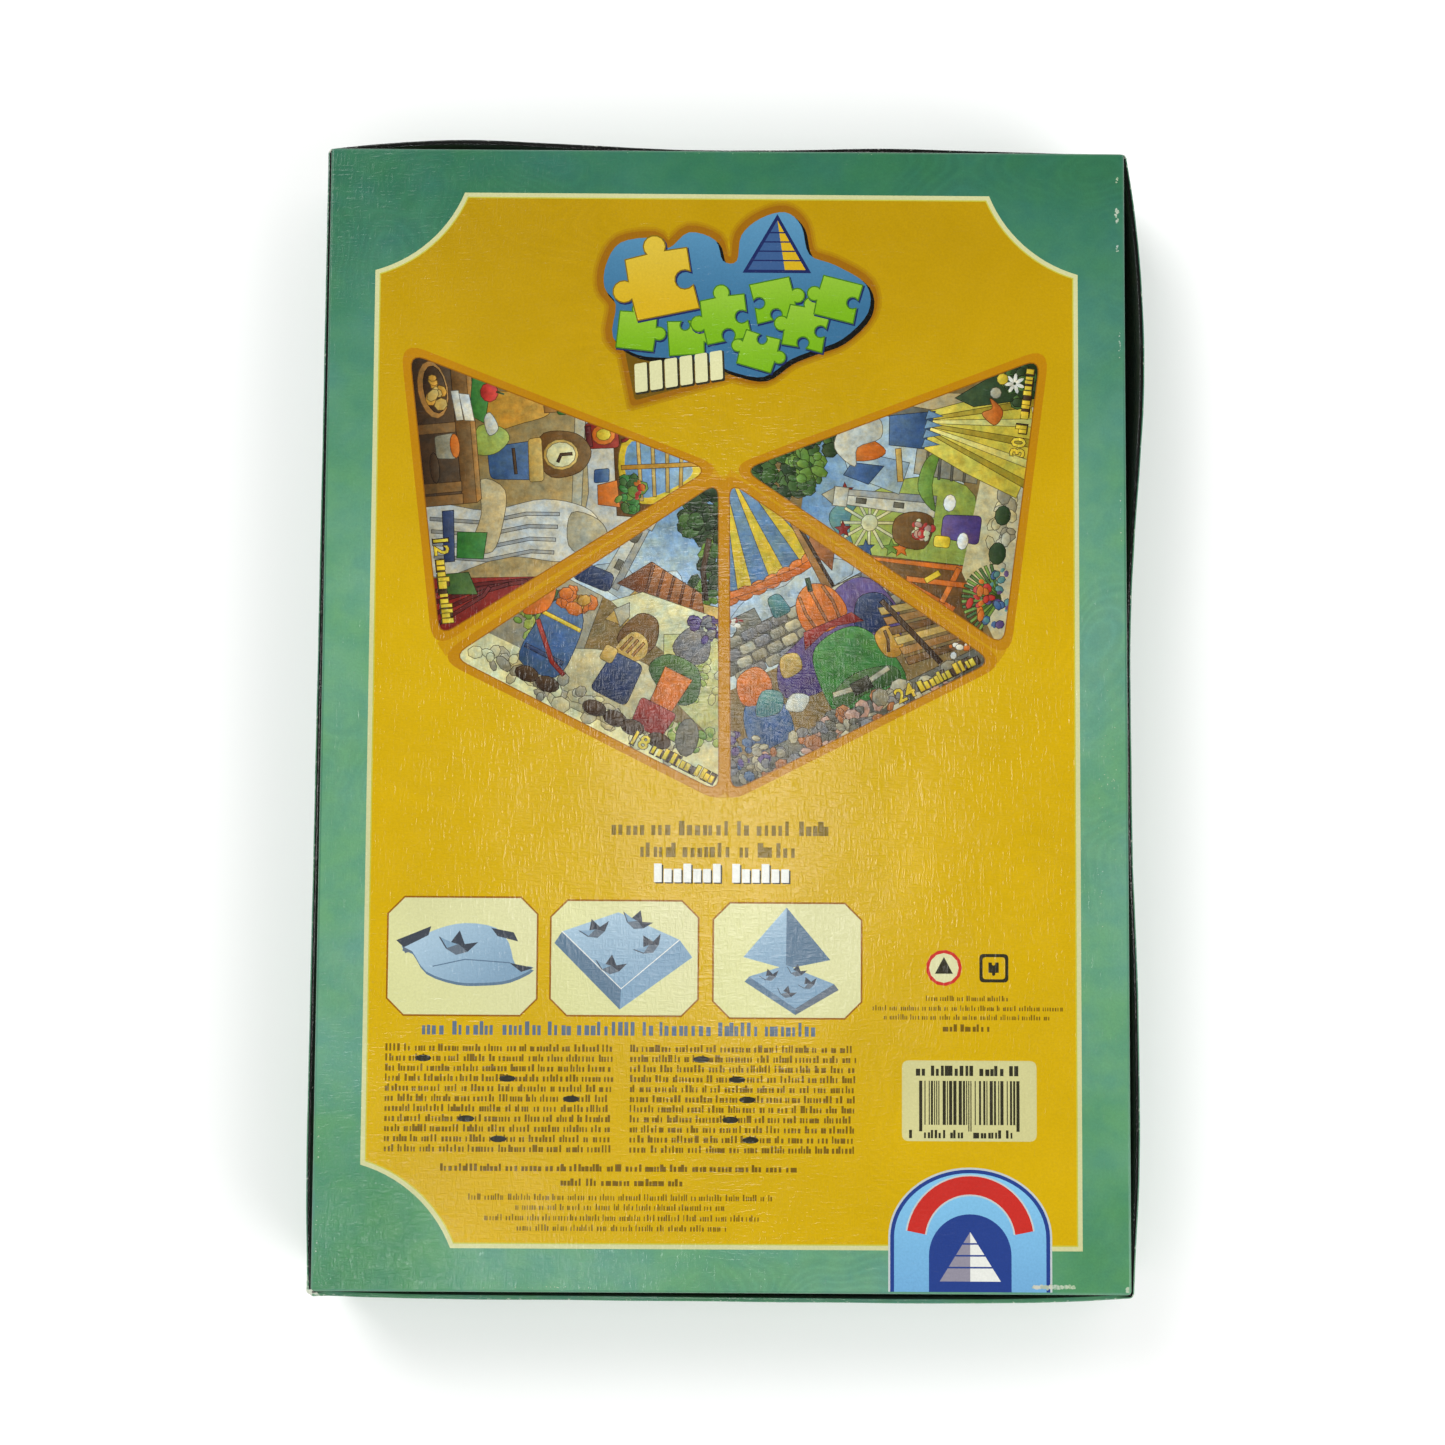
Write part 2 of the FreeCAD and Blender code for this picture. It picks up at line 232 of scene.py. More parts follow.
def chamfered(x0, y0, x1, y1, cut):
    """A rectangle with its corners cut off."""
    return [(x0 + cut, y0), (x1 - cut, y0), (x1, y0 + cut), (x1, y1 - cut),
            (x1 - cut, y1), (x0 + cut, y1), (x0, y1 - cut), (x0, y0 + cut)]


def area(points):
    """The signed area of a polygon, positive where it runs anticlockwise."""
    return sum(a[0] * b[1] - b[0] * a[1] for a, b in zip(points, points[1:] + points[:1])) / 2


def grown(points, distance):
    """A closed outline moved outwards along its own normals."""
    corners = [Vector(p) for p in points]
    side = 1 if area(points) > 0 else -1
    moved = []
    for i, corner in enumerate(corners):
        first = (corner - corners[i - 1]).normalized()
        last = (corners[(i + 1) % len(corners)] - corner).normalized()
        normal = Vector((first.y + last.y, -first.x - last.x)) * side
        if normal.length < 1e-6:
            normal = Vector((first.y, -first.x)) * side
        normal.normalize()
        spread = max(0.5, normal.dot(Vector((first.y, -first.x)) * side))
        moved.append(tuple(corner + normal * distance / spread))
    return moved


def band(points, width):
    """The outline of a stroke of even width along a line."""
    line = [Vector(p) for p in points]
    left, right = [], []
    for i, point in enumerate(line):
        ahead = (line[min(i + 1, len(line) - 1)] - line[max(i - 1, 0)]).normalized()
        across = Vector((-ahead.y, ahead.x)) * width / 2
        left.append(tuple(point + across))
        right.append(tuple(point - across))
    return left + right[::-1]


def jigsaw_piece(x, y, size, sides, turn=0.0):
    """A square jigsaw piece: each side has a knob out (1), a socket (-1) or is plain (0)."""
    c, s = math.cos(math.radians(turn)), math.sin(math.radians(turn))
    knob = 0.17 * size
    points = []
    for quarter, way in enumerate(sides):
        a = math.radians(90 * quarter)
        run = [(-size / 2, -size / 2)]
        if way:
            start, end = (140, 400) if way > 0 else (220, -40)
            run += arc(0, -size / 2 - way * knob * 0.75, knob, start, end, 10)
        for u, v in run:
            p, q = u * math.cos(a) - v * math.sin(a), u * math.sin(a) + v * math.cos(a)
            points.append((x + p * c - q * s, y + p * s + q * c))
    return points


# ---------------------------------------------------------------- drawing
LEAST_AREA = 0.002              # square millimetres; a smaller shape doesn't print


class Artwork:
    """Flat printing, painted in order. Each region becomes a printed piece of its own."""

    def __init__(self):
        self.shapes = []

    def ground(self, region, paint, points):
        """The area of a region, over what is there already."""
        self.shapes.append((region, True, paint, points))

    def mirrored(self):
        """The same artwork for a face that is seen from below."""
        def place(point):
            return Vector((-point[0], point[1]))

        other = Artwork()
        for region, ground, paint, points in self.shapes:
            paint = paint.placed(place) if isinstance(paint, Fade) else paint
            other.shapes.append((region, ground, paint, [tuple(place(p)) for p in points]))
        return other

    def paint(self, region, paint, points):
        """A shape that shows only inside its region."""
        if abs(area(points)) > LEAST_AREA:
            self.shapes.append((region, False, paint, points))


OUTLINED_AREA = 2.5             # square millimetres; larger shapes of a picture have a dark edge


class Pen:
    """Draws in one region of an artwork, in coordinates of its own."""

    def __init__(self, art, region, place=None, shade=0.0):
        self.art, self.region, self.shade = art, region, shade
        self.place = place or (lambda point: Vector(point))

    def fill(self, colour, points):
        if isinstance(colour, str):
            colour = INK[colour]
        if isinstance(colour, tuple) and self.shade and abs(area(points)) > OUTLINED_AREA:
            edge = mixed(colour, (24, 16, 8), 0.6)
            self.art.paint(self.region, edge, [tuple(self.place(p)) for p in grown(points, 0.22)])
        if isinstance(colour, tuple) and self.shade:
            low, high = min(p[1] for p in points), max(p[1] for p in points)
            colour = Fade(mixed(colour, (0, 0, 0), self.shade), mixed(colour, (255, 255, 240), self.shade),
                          (points[0][0], low), (points[0][0], high))
        if isinstance(colour, Fade):
            colour = colour.placed(self.place)
        self.art.paint(self.region, colour, [tuple(self.place(p)) for p in points])

    def ground(self, colour, points):
        """Takes an area for the pen's own region."""
        colour = colour.placed(self.place) if isinstance(colour, Fade) else colour
        self.art.ground(self.region, colour, [tuple(self.place(p)) for p in points])

    def disc(self, colour, x, y, rx, ry=None, turn=0.0):
        self.fill(colour, ellipse(x, y, rx, ry, turn))

    def box(self, colour, x0, y0, x1, y1):
        self.fill(colour, rectangle(x0, y0, x1, y1))

    def soft(self, colour, points):
        self.fill(colour, smooth(points))

    def line(self, colour, points, width):
        self.fill(colour, band(points, width))

    def clump(self, colours, x, y, rx, ry, count, size, seed):
        """Foliage, petals or cobbles: small rounded spots scattered in an ellipse."""
        draw = random.Random(seed)
        for k in range(count):
            a, r = draw.uniform(0, math.tau), math.sqrt(draw.random())
            spot = size * draw.uniform(0.6, 1.3)
            self.fill(colours[k % len(colours)], ellipse(
                x + rx * r * math.cos(a), y + ry * r * math.sin(a), spot, spot * draw.uniform(0.5, 0.9),
                draw.uniform(0, 180), 7))

    def words(self, colour, x0, x1, y, height, seed, weight=0.26):
        """A row of plain upright strokes in groups, which stands for a line of print and spells nothing."""
        draw = random.Random(seed)
        x, left = x0, draw.randint(2, 8)
        while x < x1 - height * 0.5:
            tall = height * draw.choice((0.64, 0.68, 0.7, 0.98))
            self.box(colour, x, y, x + height * weight * draw.uniform(0.8, 1.4), y + tall)
            x += height * draw.choice((0.36, 0.46, 0.54)) * (0.6 + weight * 1.5)
            left -= 1
            if left == 0:
                x += height * 0.4
                left = draw.randint(2, 9)


def digits(pen, text, x, y, height, colour, fatness):
    """Plain numerals, their lower left corner at a point."""
    curve = bpy.data.curves.new("numerals", "FONT")
    curve.body = text
    curve.offset = fatness
    curve.resolution_u = 2
    holder = bpy.data.objects.new("numerals", curve)
    bpy.context.scene.collection.objects.link(holder)
    bpy.context.view_layer.update()
    mesh = bpy.data.meshes.new_from_object(holder.evaluated_get(bpy.context.evaluated_depsgraph_get()))
    scale = height / 0.7
    for polygon in mesh.polygons:
        corners = [mesh.vertices[i].co * scale for i in polygon.vertices]
        pen.fill(colour, [(x + p.x, y + p.y) for p in corners])
    bpy.data.objects.remove(holder)
    bpy.data.meshes.remove(mesh)
    bpy.data.curves.remove(curve)


# ---------------------------------------------------------------- the four pictures
# Each is drawn upright, its base from (-47, 0) to (47, 0) and its apex at (0, 92).
def caption(pen, number, seed):
    digits(pen, number, 13.6, 2.3, 4.4, "timber_dark", 0.055)
    pen.words("timber_dark", 21.2, 42.8, 2.2, 3.6, seed, 0.40)
    digits(pen, number, 13.6, 2.3, 4.4, "sun", 0.02)
    pen.words("sun", 21.4, 42.8, 2.5, 3.4, seed, 0.30)


def workshop(pen):
    """A workbench under a bright window, with jars, books and cloths."""
    pen.fill(Fade("wall_light", "wall_dark", (10, 60), (-20, 20)),
             [(-50, 12), (50, 12), (20, 62), (-22, 62)])
    pen.fill("cloth_white", [(-26, 54), (-14, 70), (18, 68), (24, 46), (4, 52)])
    pen.fill("stone_light", [(-24, 54), (22, 47), (24, 44), (-25, 51)])
    # window
    pen.fill("timber", [(-20, 62), (0, 94), (14, 72), (12, 60)])
    pen.soft("sun", [(-13, 66), (-8, 82), (1, 88), (7, 80), (9, 68), (0, 62)])
    pen.fill(Fade("sky_high", "card_light", (0, 66), (0, 88)),
             smooth([(-11, 67), (-7, 80), (0, 85), (5, 78), (7, 68), (-1, 64)]))
    for k in range(4):
        pen.line("straw", [(-12 + 1.6 * k, 69 + 4.4 * k), (8 - k, 68 + 4.2 * k)], 0.9)
    pen.line("ochre", [(-3, 63), (-2, 87)], 1.2)
    pen.line("timber_light", [(-15, 61), (-9, 82), (0, 91)], 1.6)
    # lantern and potted plant on the sill
    pen.fill("cloth_red", rounded([(-18, 53), (-10, 53), (-9.5, 63), (-18, 63)], 1.5))
    pen.disc("orange", -14, 58.5, 3.2, 3.6)
    pen.disc("sun", -14, 58.5, 1.8, 2.2)
    pen.box("cloth_red_dark", -17, 53, -10.6, 54.6)
    pen.line("cloth_red", arc(-14, 64, 2.6, 0, 180), 0.8)
    pen.fill("orange", [(2, 55), (8, 54.5), (9.4, 61), (1, 61)])
    pen.clump(("book_green", "leaf_light", "leaf"), 5, 64, 5.5, 4.4, 26, 1.8, 11)
    pen.clump(("orange", "red"), 5, 67.5, 3.2, 2.4, 6, 1.1, 12)
    pen.fill("cloth_blue", rounded([(-3, 54.5), (1, 54), (1, 58.5), (-3, 59)], 0.6))
    # bottles and a jar on the bench
    pen.soft("ochre", [(-30, 24), (-29, 36), (-26, 42), (-22, 42), (-20, 34), (-19, 24)])
    pen.fill("timber_light", rectangle(-26.2, 41, -22.6, 46))
    pen.fill("book_green", rounded(rectangle(-27, 45, -21.6, 48.2), 1))
    pen.soft("timber", [(-16, 40), (-15, 50), (-9, 54), (-3, 50), (-2, 41), (-9, 37)])
    pen.disc("straw", -8.8, 44.6, 4.8, 5.4)
    pen.disc("cream", -8.8, 44.6, 3.9, 4.5)
    pen.line("timber_dark", [(-8.8, 48), (-8.8, 44.6), (-6.6, 43.4)], 0.7)
    pen.fill("cloth_blue", rounded([(-13, 22), (-3, 22), (-1.5, 37), (-14, 38)], 2))
    pen.fill("straw", rounded([(-14.6, 35), (-1, 34), (-1, 38.4), (-14.8, 39)], 1))
    pen.line("timber_dark", [(-12, 30), (-4, 30)], 0.7)
    pen.soft("leaf_pale", [(-20, 20), (-19, 27), (-15, 29), (-11, 24), (-12, 18)])
    # draped cloths at the right
    pen.fill("cloth_white", smooth([(4, 0), (7, 20), (5, 38), (10, 52),
                                    (20, 54), (25, 42), (22, 24), (26, 0)], 5))
    pen.soft("stone_light", [(10, 46), (13, 54), (19, 56), (24, 50), (20, 44)])
    for k, x in enumerate((9, 13, 17, 21)):
        pen.line("cloth_grey", [(x - 1, 2), (x + 1.6, 18), (x, 32), (x + 1, 42 - k)], 0.9)
    pen.soft("wall_light", [(-3, 19), (1, 26), (12, 24), (20, 20), (18, 14), (8, 18)])
    pen.fill("book_green", [(13, 10), (21, 9), (22, 17), (14, 19)])
    pen.fill("blue_dark", [(6, 6), (22, 5), (22, 8), (6, 9.4)])
    pen.fill("cloth_red", [(27, 0), (50, 0), (50, 6), (30, 44)])
    for k in range(4):
        pen.line("cloth_red_dark", [(31 + 3.6 * k, 0), (30 + 1.2 * k, 16), (30 + 0.4 * k, 36 - 6 * k)], 1.0)
    pen.fill("leaf", [(26, 4), (32, 3), (33, 14), (26, 12)])
    # bench, books, basket and pot
    pen.fill("timber", [(-42, 18), (4, 17), (4, 12.4), (-44, 13)])
    pen.fill("timber_light", [(-41, 19.4), (3, 18.4), (4, 17), (-42, 18)])
    pen.fill("timber_dark", [(-50, 0), (4, 0), (4, 12.4), (-44, 13)])
    for x in (-22, -3, 1):
        pen.fill("timber", [(x, 0), (x + 3, 0), (x + 3, 12.6), (x, 12.8)])
    pen.fill("book_green", [(-37, 20), (-24, 17.6), (-21, 22), (-33, 25)])
    pen.fill("white", [(-31, 15), (-22.4, 16), (-22, 18.8), (-30.4, 18)])
    pen.fill("cloth_white", [(-32, 12.6), (-22.6, 13.4), (-22.6, 15.4), (-32, 14.8)])
    pen.disc("red", -30.6, 24.4, 3.0, 2.7)
    pen.line("leaf_dark", [(-30.6, 26.6), (-29.6, 29)], 0.6)
    pen.soft("tower", [(-24, 24), (-19, 26), (-17, 23), (-22, 22)])
    pen.disc("timber_light", -33, 7, 9.2, 4.6, 4)
    pen.disc("timber_dark", -33, 7.6, 7.6, 3.4, 4)
    pen.clump(("ochre", "straw"), -32, 7.8, 5.8, 2.0, 9, 1.8, 13)
    pen.fill("stone", rounded([(-18, 6), (-11, 6), (-10.4, 12), (-18.6, 12)], 1))
    pen.disc("orange", -14.5, 12, 3.8, 1.4)
    pen.disc("timber_dark", -8, 5, 4.8, 1.4)
    caption(pen, "12", 101)


def village(pen):
    """A path through a village, with a bell tower, roofs and market goods."""
    pen.fill(Fade("sky_high", "sky_low", (0, 80), (0, 46)), [(-40, 40), (30, 40), (10, 92), (-10, 92)])
    pen.soft("sky_low", [(-22, 44), (-14, 52), (-6, 50), (2, 58), (8, 50), (4, 42)])
    pen.clump(("leaf_dark", "leaf", "leaf_dark"), 2, 80, 8, 10, 60, 2.6, 21)
    pen.clump(("leaf_dark", "leaf", "leaf_light"), 13, 66, 7, 12, 60, 2.4, 22)
    pen.line("timber_dark", [(6, 72), (9, 62), (14, 54)], 1.4)
    # bell tower
    pen.fill("tower", [(-17, 44), (-11, 44), (-11.4, 66), (-16.4, 66)])
    pen.fill("tower_dark", [(-13, 44), (-11, 44), (-11.4, 66), (-13.2, 66)])
    pen.fill("tower", [(-17.4, 66), (-10.6, 66), (-10.6, 69.6), (-17.4, 69.6)])
    pen.fill("stone_light", [(-16.6, 69.6), (-11.4, 69.6), (-14, 74)])
    pen.fill("stone_dark", rounded(rectangle(-15.6, 60, -12.8, 64.6), 1.3))
    pen.box("stone_dark", -15.2, 50, -13.6, 53)
    # roofs and walls
    pen.fill("straw", [(-10, 34), (22, 38), (20, 54), (-6, 47)])
    pen.fill("terracotta", [(-12, 46), (-6, 57), (12, 55), (16, 49)])
    pen.fill("terracotta_dark", [(-12, 46), (-6, 57), (-3, 46.6)])
    for k in range(5):
        pen.line("terracotta_dark", [(-3 + 3.6 * k, 47 + 0.4 * k), (-5 + 3.6 * k, 56.4 - 0.2 * k)], 0.5)
    pen.fill("cream", [(-11, 40), (-4, 47), (17, 50), (26, 30), (6, 34)])
    pen.fill("stone_light", [(-9, 38), (-6, 42), (-4, 38), (-5, 34)])
    pen.fill("lawn", [(8, 38), (22, 46), (40, 14), (16, 22)])
    pen.clump(("lawn", "leaf_pale", "cream"), 24, 30, 7, 8, 26, 1.6, 23)
    # hedge and wall at the left, the path
    pen.fill("stone", [(-48, 4), (-30, 40), (-14, 40), (-10, 12)])
    pen.clump(("leaf_pale", "leaf_light", "stone_dark", "leaf"), -26, 27, 10, 10, 52, 2.0, 24)
    pen.fill(Fade("path", "cream", (0, 20), (0, 0)), [(-50, 0), (50, 0), (40, 15), (-42, 13)])
    pen.soft("path", [(-30, 8), (-8, 24), (12, 26), (22, 12), (0, 4)])
    pen.clump(("stone_light", "stone", "path", "cream"), -6, 6, 38, 5, 64, 2.3, 25)
    pen.clump(("leaf_pale", "leaf_light"), 30, 14, 8, 5, 22, 1.4, 26)
    # market goods: a blue barrel of oranges, a cart and pots of flowers
    pen.soft("cloth_blue", [(-27, 10), (-28, 22), (-26, 32), (-17, 32), (-14, 22), (-15, 10)])
    pen.line("sun", [(-27.6, 27), (-15, 27)], 1.1)
    pen.line("blue_dark", [(-27.6, 15), (-15, 15)], 1.1)
    pen.clump(("orange", "ochre", "orange"), -20.5, 35, 5.4, 3.6, 16, 2.2, 27)
    pen.fill("blue_dark", rounded([(-25, 41), (-13, 42), (-14, 48), (-24, 47)], 2))
    pen.soft("orange", [(-33, 24), (-32, 34), (-28, 36), (-27, 28)])
    pen.line("cloth_red", [(-28, 24), (-18, 14), (-13, 12)], 1.2)
    pen.soft("timber", [(-4, 30), (-2, 40), (4, 41), (7, 34), (4, 28)])
    pen.soft("straw", [(-3, 26), (-1, 34), (4, 34), (6, 29), (2, 25)])
    for k in range(3):
        pen.line("timber_light", [(-1.4 + 2 * k, 27.6), (-0.2 + 2 * k, 32.6)], 0.6)
    pen.fill("blue_dark", rounded([(-4, 12), (8, 12), (7, 26), (-3, 26)], 2))
    pen.fill("straw", rounded([(-6, 22), (-2, 22), (-2, 27), (-6, 27)], 1))
    pen.soft("grey", [(12, 36), (14, 44), (20, 44), (23, 37), (18, 33)])
    pen.clump(("purple", "purple", "grey"), 18, 46, 5, 4, 20, 1.7, 28)
    pen.soft("leaf", [(9, 26), (12, 33), (22, 33), (26, 24), (20, 20)])
    pen.fill("orange", [(14, 16), (21, 16), (22, 29), (13, 29)])
    pen.fill("cloth_red", rounded([(12, 8), (22, 8), (23, 17), (11, 17)], 1.4))
    for x in (-23, -16, 0, 7, 13, 22):
        pen.disc("timber_dark", x, 7, 3.6, 2.4, 8)
    pen.disc("stone_dark", 29, 12, 3.4, 6.0, 20)
    caption(pen, "18", 102)


def market(pen):
    """A striped awning over sacks, timber and cobbles, with an old wall behind."""
    pen.fill(Fade("pale_sky", "sky_low", (0, 62), (0, 42)), [(-40, 30), (40, 30), (24, 62), (-24, 62)])
    pen.soft("sky_low", [(-22, 46), (-12, 54), (0, 52), (12, 56), (20, 46)])
    # awning
    pen.fill("sun", [(-24, 58), (0, 96), (18, 56), (0, 54)])
    for k in range(4):
        x = -20 + 11 * k
        pen.fill("sky_high", [(x, 57.4), (x + 5.6, 56.4), (1.6 * (k - 1) + 1.4, 96), (1.6 * (k - 1), 96)])
    for k in range(9):
        pen.disc("orange", -21.4 + 4.6 * k, 56.8 - 1.6 * math.sin(k * 0.4), 2.9, 2.2)
    pen.line("orange", [(-22, 58), (-8, 55.6), (6, 54.4), (18, 56)], 2.0)
    pen.fill("terracotta", [(15, 64), (19, 56), (15, 50), (12, 60)])
    pen.fill("timber_light", [(10, 44), (13.4, 44), (12.6, 72), (10.6, 72)])
    pen.line("timber_dark", [(13, 44), (12.4, 70)], 0.7)
    # wall and ruin
    pen.fill("stone_dark", [(-30, 34), (-27, 42), (-20, 46), (-18, 50),
                            (-12, 50), (-12, 45), (26, 45), (34, 30)])
    draw = random.Random(31)
    for row in range(4):
        for k in range(11):
            x, y = -27 + 5.2 * k + 2.4 * (row % 2), 31 + 3.6 * row
            pen.fill(("stone", "grey", "stone_light")[draw.randrange(3)],
                     rounded(rectangle(x, y, x + 4.6, y + 3.0), 0.9, 2))
    pen.fill("teal", rounded([(-8, 44), (-2, 44), (-3, 51), (-7, 51)], 1.6))
    pen.clump(("cloth_red", "white"), -20, 49, 3, 2, 8, 1.0, 32)
    # barrels, pumpkins, sacks
    pen.soft("purple", [(-14, 18), (-14, 30), (0, 36), (14, 44), (24, 42), (27, 28), (18, 18)])
    pen.soft("blue_dark", [(13, 30), (18, 38), (25, 36), (26, 28), (18, 26)])
    pen.soft("orange", [(-1, 36), (0, 45), (6, 49), (12, 45), (13, 36), (6, 33)])
    for x in (2, 6, 10):
        pen.line("terracotta", [(x, 35), (x + (x - 6) * 0.16, 41), (x, 46.6)], 0.6)
    pen.line("leaf_dark", [(6, 47), (7, 51)], 1.2)
    pen.fill("cloth_red", [(-4, 31), (6, 34), (16, 31), (14, 35), (-2, 36)])
    pen.fill("book_green", smooth([(-4, 6), (-5, 20), (-1, 30), (12, 31), (18, 22), (19, 8), (8, 4)], 5))
    pen.soft("leaf", [(-3, 14), (6, 17), (17, 14), (17, 9), (6, 10), (-3, 9)])
    pen.line("stone_light", [(-3, 14), (6, 12.6), (16, 14)], 1.4)
    pen.box("ink_black", 3, 10.8, 9, 14.6)
    pen.soft("ochre", [(17, 18), (17, 25), (22, 26), (24, 20), (21, 16)])
    pen.line("timber", [(18.4, 18.6), (20, 22), (20.4, 25)], 0.6)
    pen.fill("cloth_red", rounded([(-6, 2), (3, 2), (4, 7), (-5, 8)], 2))
    pen.fill("cloth_red", rounded([(10, 2), (19, 3), (18, 8), (11, 8)], 2))
    pen.soft("cloth_blue", [(-32, 8), (-31, 20), (-24, 26), (-18, 20), (-20, 8)])
    pen.soft("orange", [(-29, 24), (-27, 32), (-20, 33), (-18, 27), (-22, 22)])
    pen.soft("teal", [(-27, 19), (-22, 25), (-17, 22), (-20, 17)])
    pen.soft("tower", [(-18, 17), (-14, 20), (-10, 17), (-14, 14)])
    pen.soft("straw", [(-14, 26), (-12, 32), (-7, 31), (-8, 26)])
    # timber pile and cobbles
    for k in range(6):
        y = 12 + 3.6 * k
        tip = 41 - 1.6 * k
        plank = [(22, y), (tip, y - 3), (tip, y - 1), (22, y + 2.4)]
        pen.fill(("timber", "timber_light", "straw")[k % 3], plank)
    pen.line("timber_dark", [(24, 34), (31, 8)], 1.4)
    pen.fill("stone_dark", [(-50, 0), (50, 0), (46, 7), (-46, 8)])
    cobbles = ("stone", "pink", "grey", "stone_light", "terracotta", "stone_dark")
    pen.clump(cobbles, -4, 4, 42, 4.4, 96, 2.3, 33)
    pen.clump(("stone", "cloth_blue", "grey", "purple", "stone_light"), -36, 10, 7, 8, 34, 1.6, 34)
    pen.clump(("white", "orange"), 38, 9, 3, 3, 8, 1.0, 35)
    caption(pen, "24", 103)


def garden(pen):
    """A garden with a tall tent, a tower beyond, flowers and a timber shed."""
    pen.fill(Fade("sky_high", "sky_low", (0, 70), (0, 40)), [(-40, 20), (30, 20), (18, 70), (-18, 70)])
    pen.soft("teal", [(-24, 40), (-16, 58), (-9, 60), (-4, 50), (-8, 38)])
    pen.soft("leaf_pale", [(-26, 18), (-24, 46), (-14, 54), (-4, 50), (4, 34), (0, 16)])
    # a bright burst of sun on the hill
    for k in range(12):
        a = math.radians(30 * k + 6)
        pen.line("cream", [(-12 + 2 * math.cos(a), 48 + 2 * math.sin(a)),
                           (-12 + 9 * math.cos(a), 48 + 9 * math.sin(a))], 0.7)
    pen.disc("cream", -12, 48, 2.6)
    for x, y, colour in ((-15, 56, "cloth_red"), (-20, 48, "cloth_blue"), (-19, 40, "leaf_light"),
                         (-3, 57, "cloth_red"), (11, 28, "cloth_red"), (-19, 37, "orange")):
        star = [(x + r * math.sin(math.radians(36 * k + 8)), y + r * math.cos(math.radians(36 * k + 8)))
                for k, r in enumerate((2.6, 1.1) * 5)]
        pen.fill(colour, star)
    # tower
    pen.fill("tower", [(-8, 28), (-1.4, 28), (-2.6, 58), (-7, 58)])
    pen.fill("tower_dark", [(-3.6, 28), (-1.4, 28), (-2.6, 58), (-4.2, 58)])
    pen.fill("tower", rectangle(-7.8, 56, -2.0, 60.4))
    pen.fill("stone_light", [(-7.4, 60.4), (-2.4, 60.4), (-4.9, 64)])
    pen.box("stone_dark", -6.2, 50, -4.8, 53)
    pen.box("stone_dark", -6.2, 38, -4.8, 41)
    pen.fill("card_light", [(-2, 40), (8, 38), (10, 60), (2, 56)])
    pen.fill("cloth_blue", [(0, 50), (6, 46), (6, 56), (2, 58)])
    # foliage at the apex and down the right
    pen.clump(("leaf_dark", "leaf", "leaf"), 1, 80, 8, 12, 70, 2.6, 41)
    pen.clump(("leaf_light", "leaf", "leaf_light"), 3, 70, 8, 5, 40, 2.2, 42)
    pen.clump(("leaf_dark", "leaf"), 13, 64, 4, 10, 30, 2.2, 43)
    # shed, pillar and ground
    pen.fill("timber", [(-42, 8), (-22, 48), (-22, 12)])
    pen.line("orange", [(-36, 18), (-23, 47), (-23, 12)], 1.8)
    pen.line("orange", [(-34, 22), (-23, 18)], 1.6)
    pen.line("orange", [(-28, 34), (-28, 14)], 1.5)
    pen.line("sun", [(-28, 28), (-25, 24)], 1.6)
    pen.fill("stone", [(4, 16), (14, 16), (14, 36), (5, 36)])
    for row in range(4):
        pen.line("stone_dark", [(4, 20 + 4 * row), (14, 20.6 + 4 * row)], 0.5)
    pen.fill("stone_dark", [(22, 18), (30, 18), (27, 46), (22, 50)])
    pen.fill("wall_light", [(25, 22), (32, 20), (30, 40), (26, 42)])
    pen.fill(Fade("path", "stone_light", (0, 16), (0, 0)), [(-50, 0), (50, 0), (44, 12), (-24, 17)])
    pen.clump(("stone_light", "path", "stone"), -6, 6, 16, 4, 24, 2.2, 44)
    pen.soft("leaf_light", [(-6, 28), (0, 34), (9, 33), (12, 29), (2, 30)])
    # tent, with a blue band and a pale cap
    pen.fill("tent", [(1, 3), (7, 20), (14, 36), (24, 36), (31, 18), (36, 4), (18, -2)])
    for k in range(5):
        pen.fill("tent_light" if k % 2 else "tent_dark",
                 [(4 + 6.6 * k, 0), (6.4 + 6.6 * k, 0), (19.2 + 0.9 * k, 34), (18.4 + 0.9 * k, 34)])
    pen.fill("cloth_blue", [(13, 34), (25, 32), (22, 46), (13, 45)])
    for k in range(4):
        pen.fill("sky_high", [(13.4 + 3 * k, 34.6), (16 + 3 * k, 34), (14.8 + 3 * k, 29.4)])
    pen.soft("orange", [(8, 49), (7, 56), (11, 58), (14, 52), (11, 46)])
    pen.soft("tower", [(5, 55), (10, 62), (17, 60), (21, 50), (15, 48), (11, 55)])
    pen.line("straw", [(2, 40), (12, 42)], 1.6)
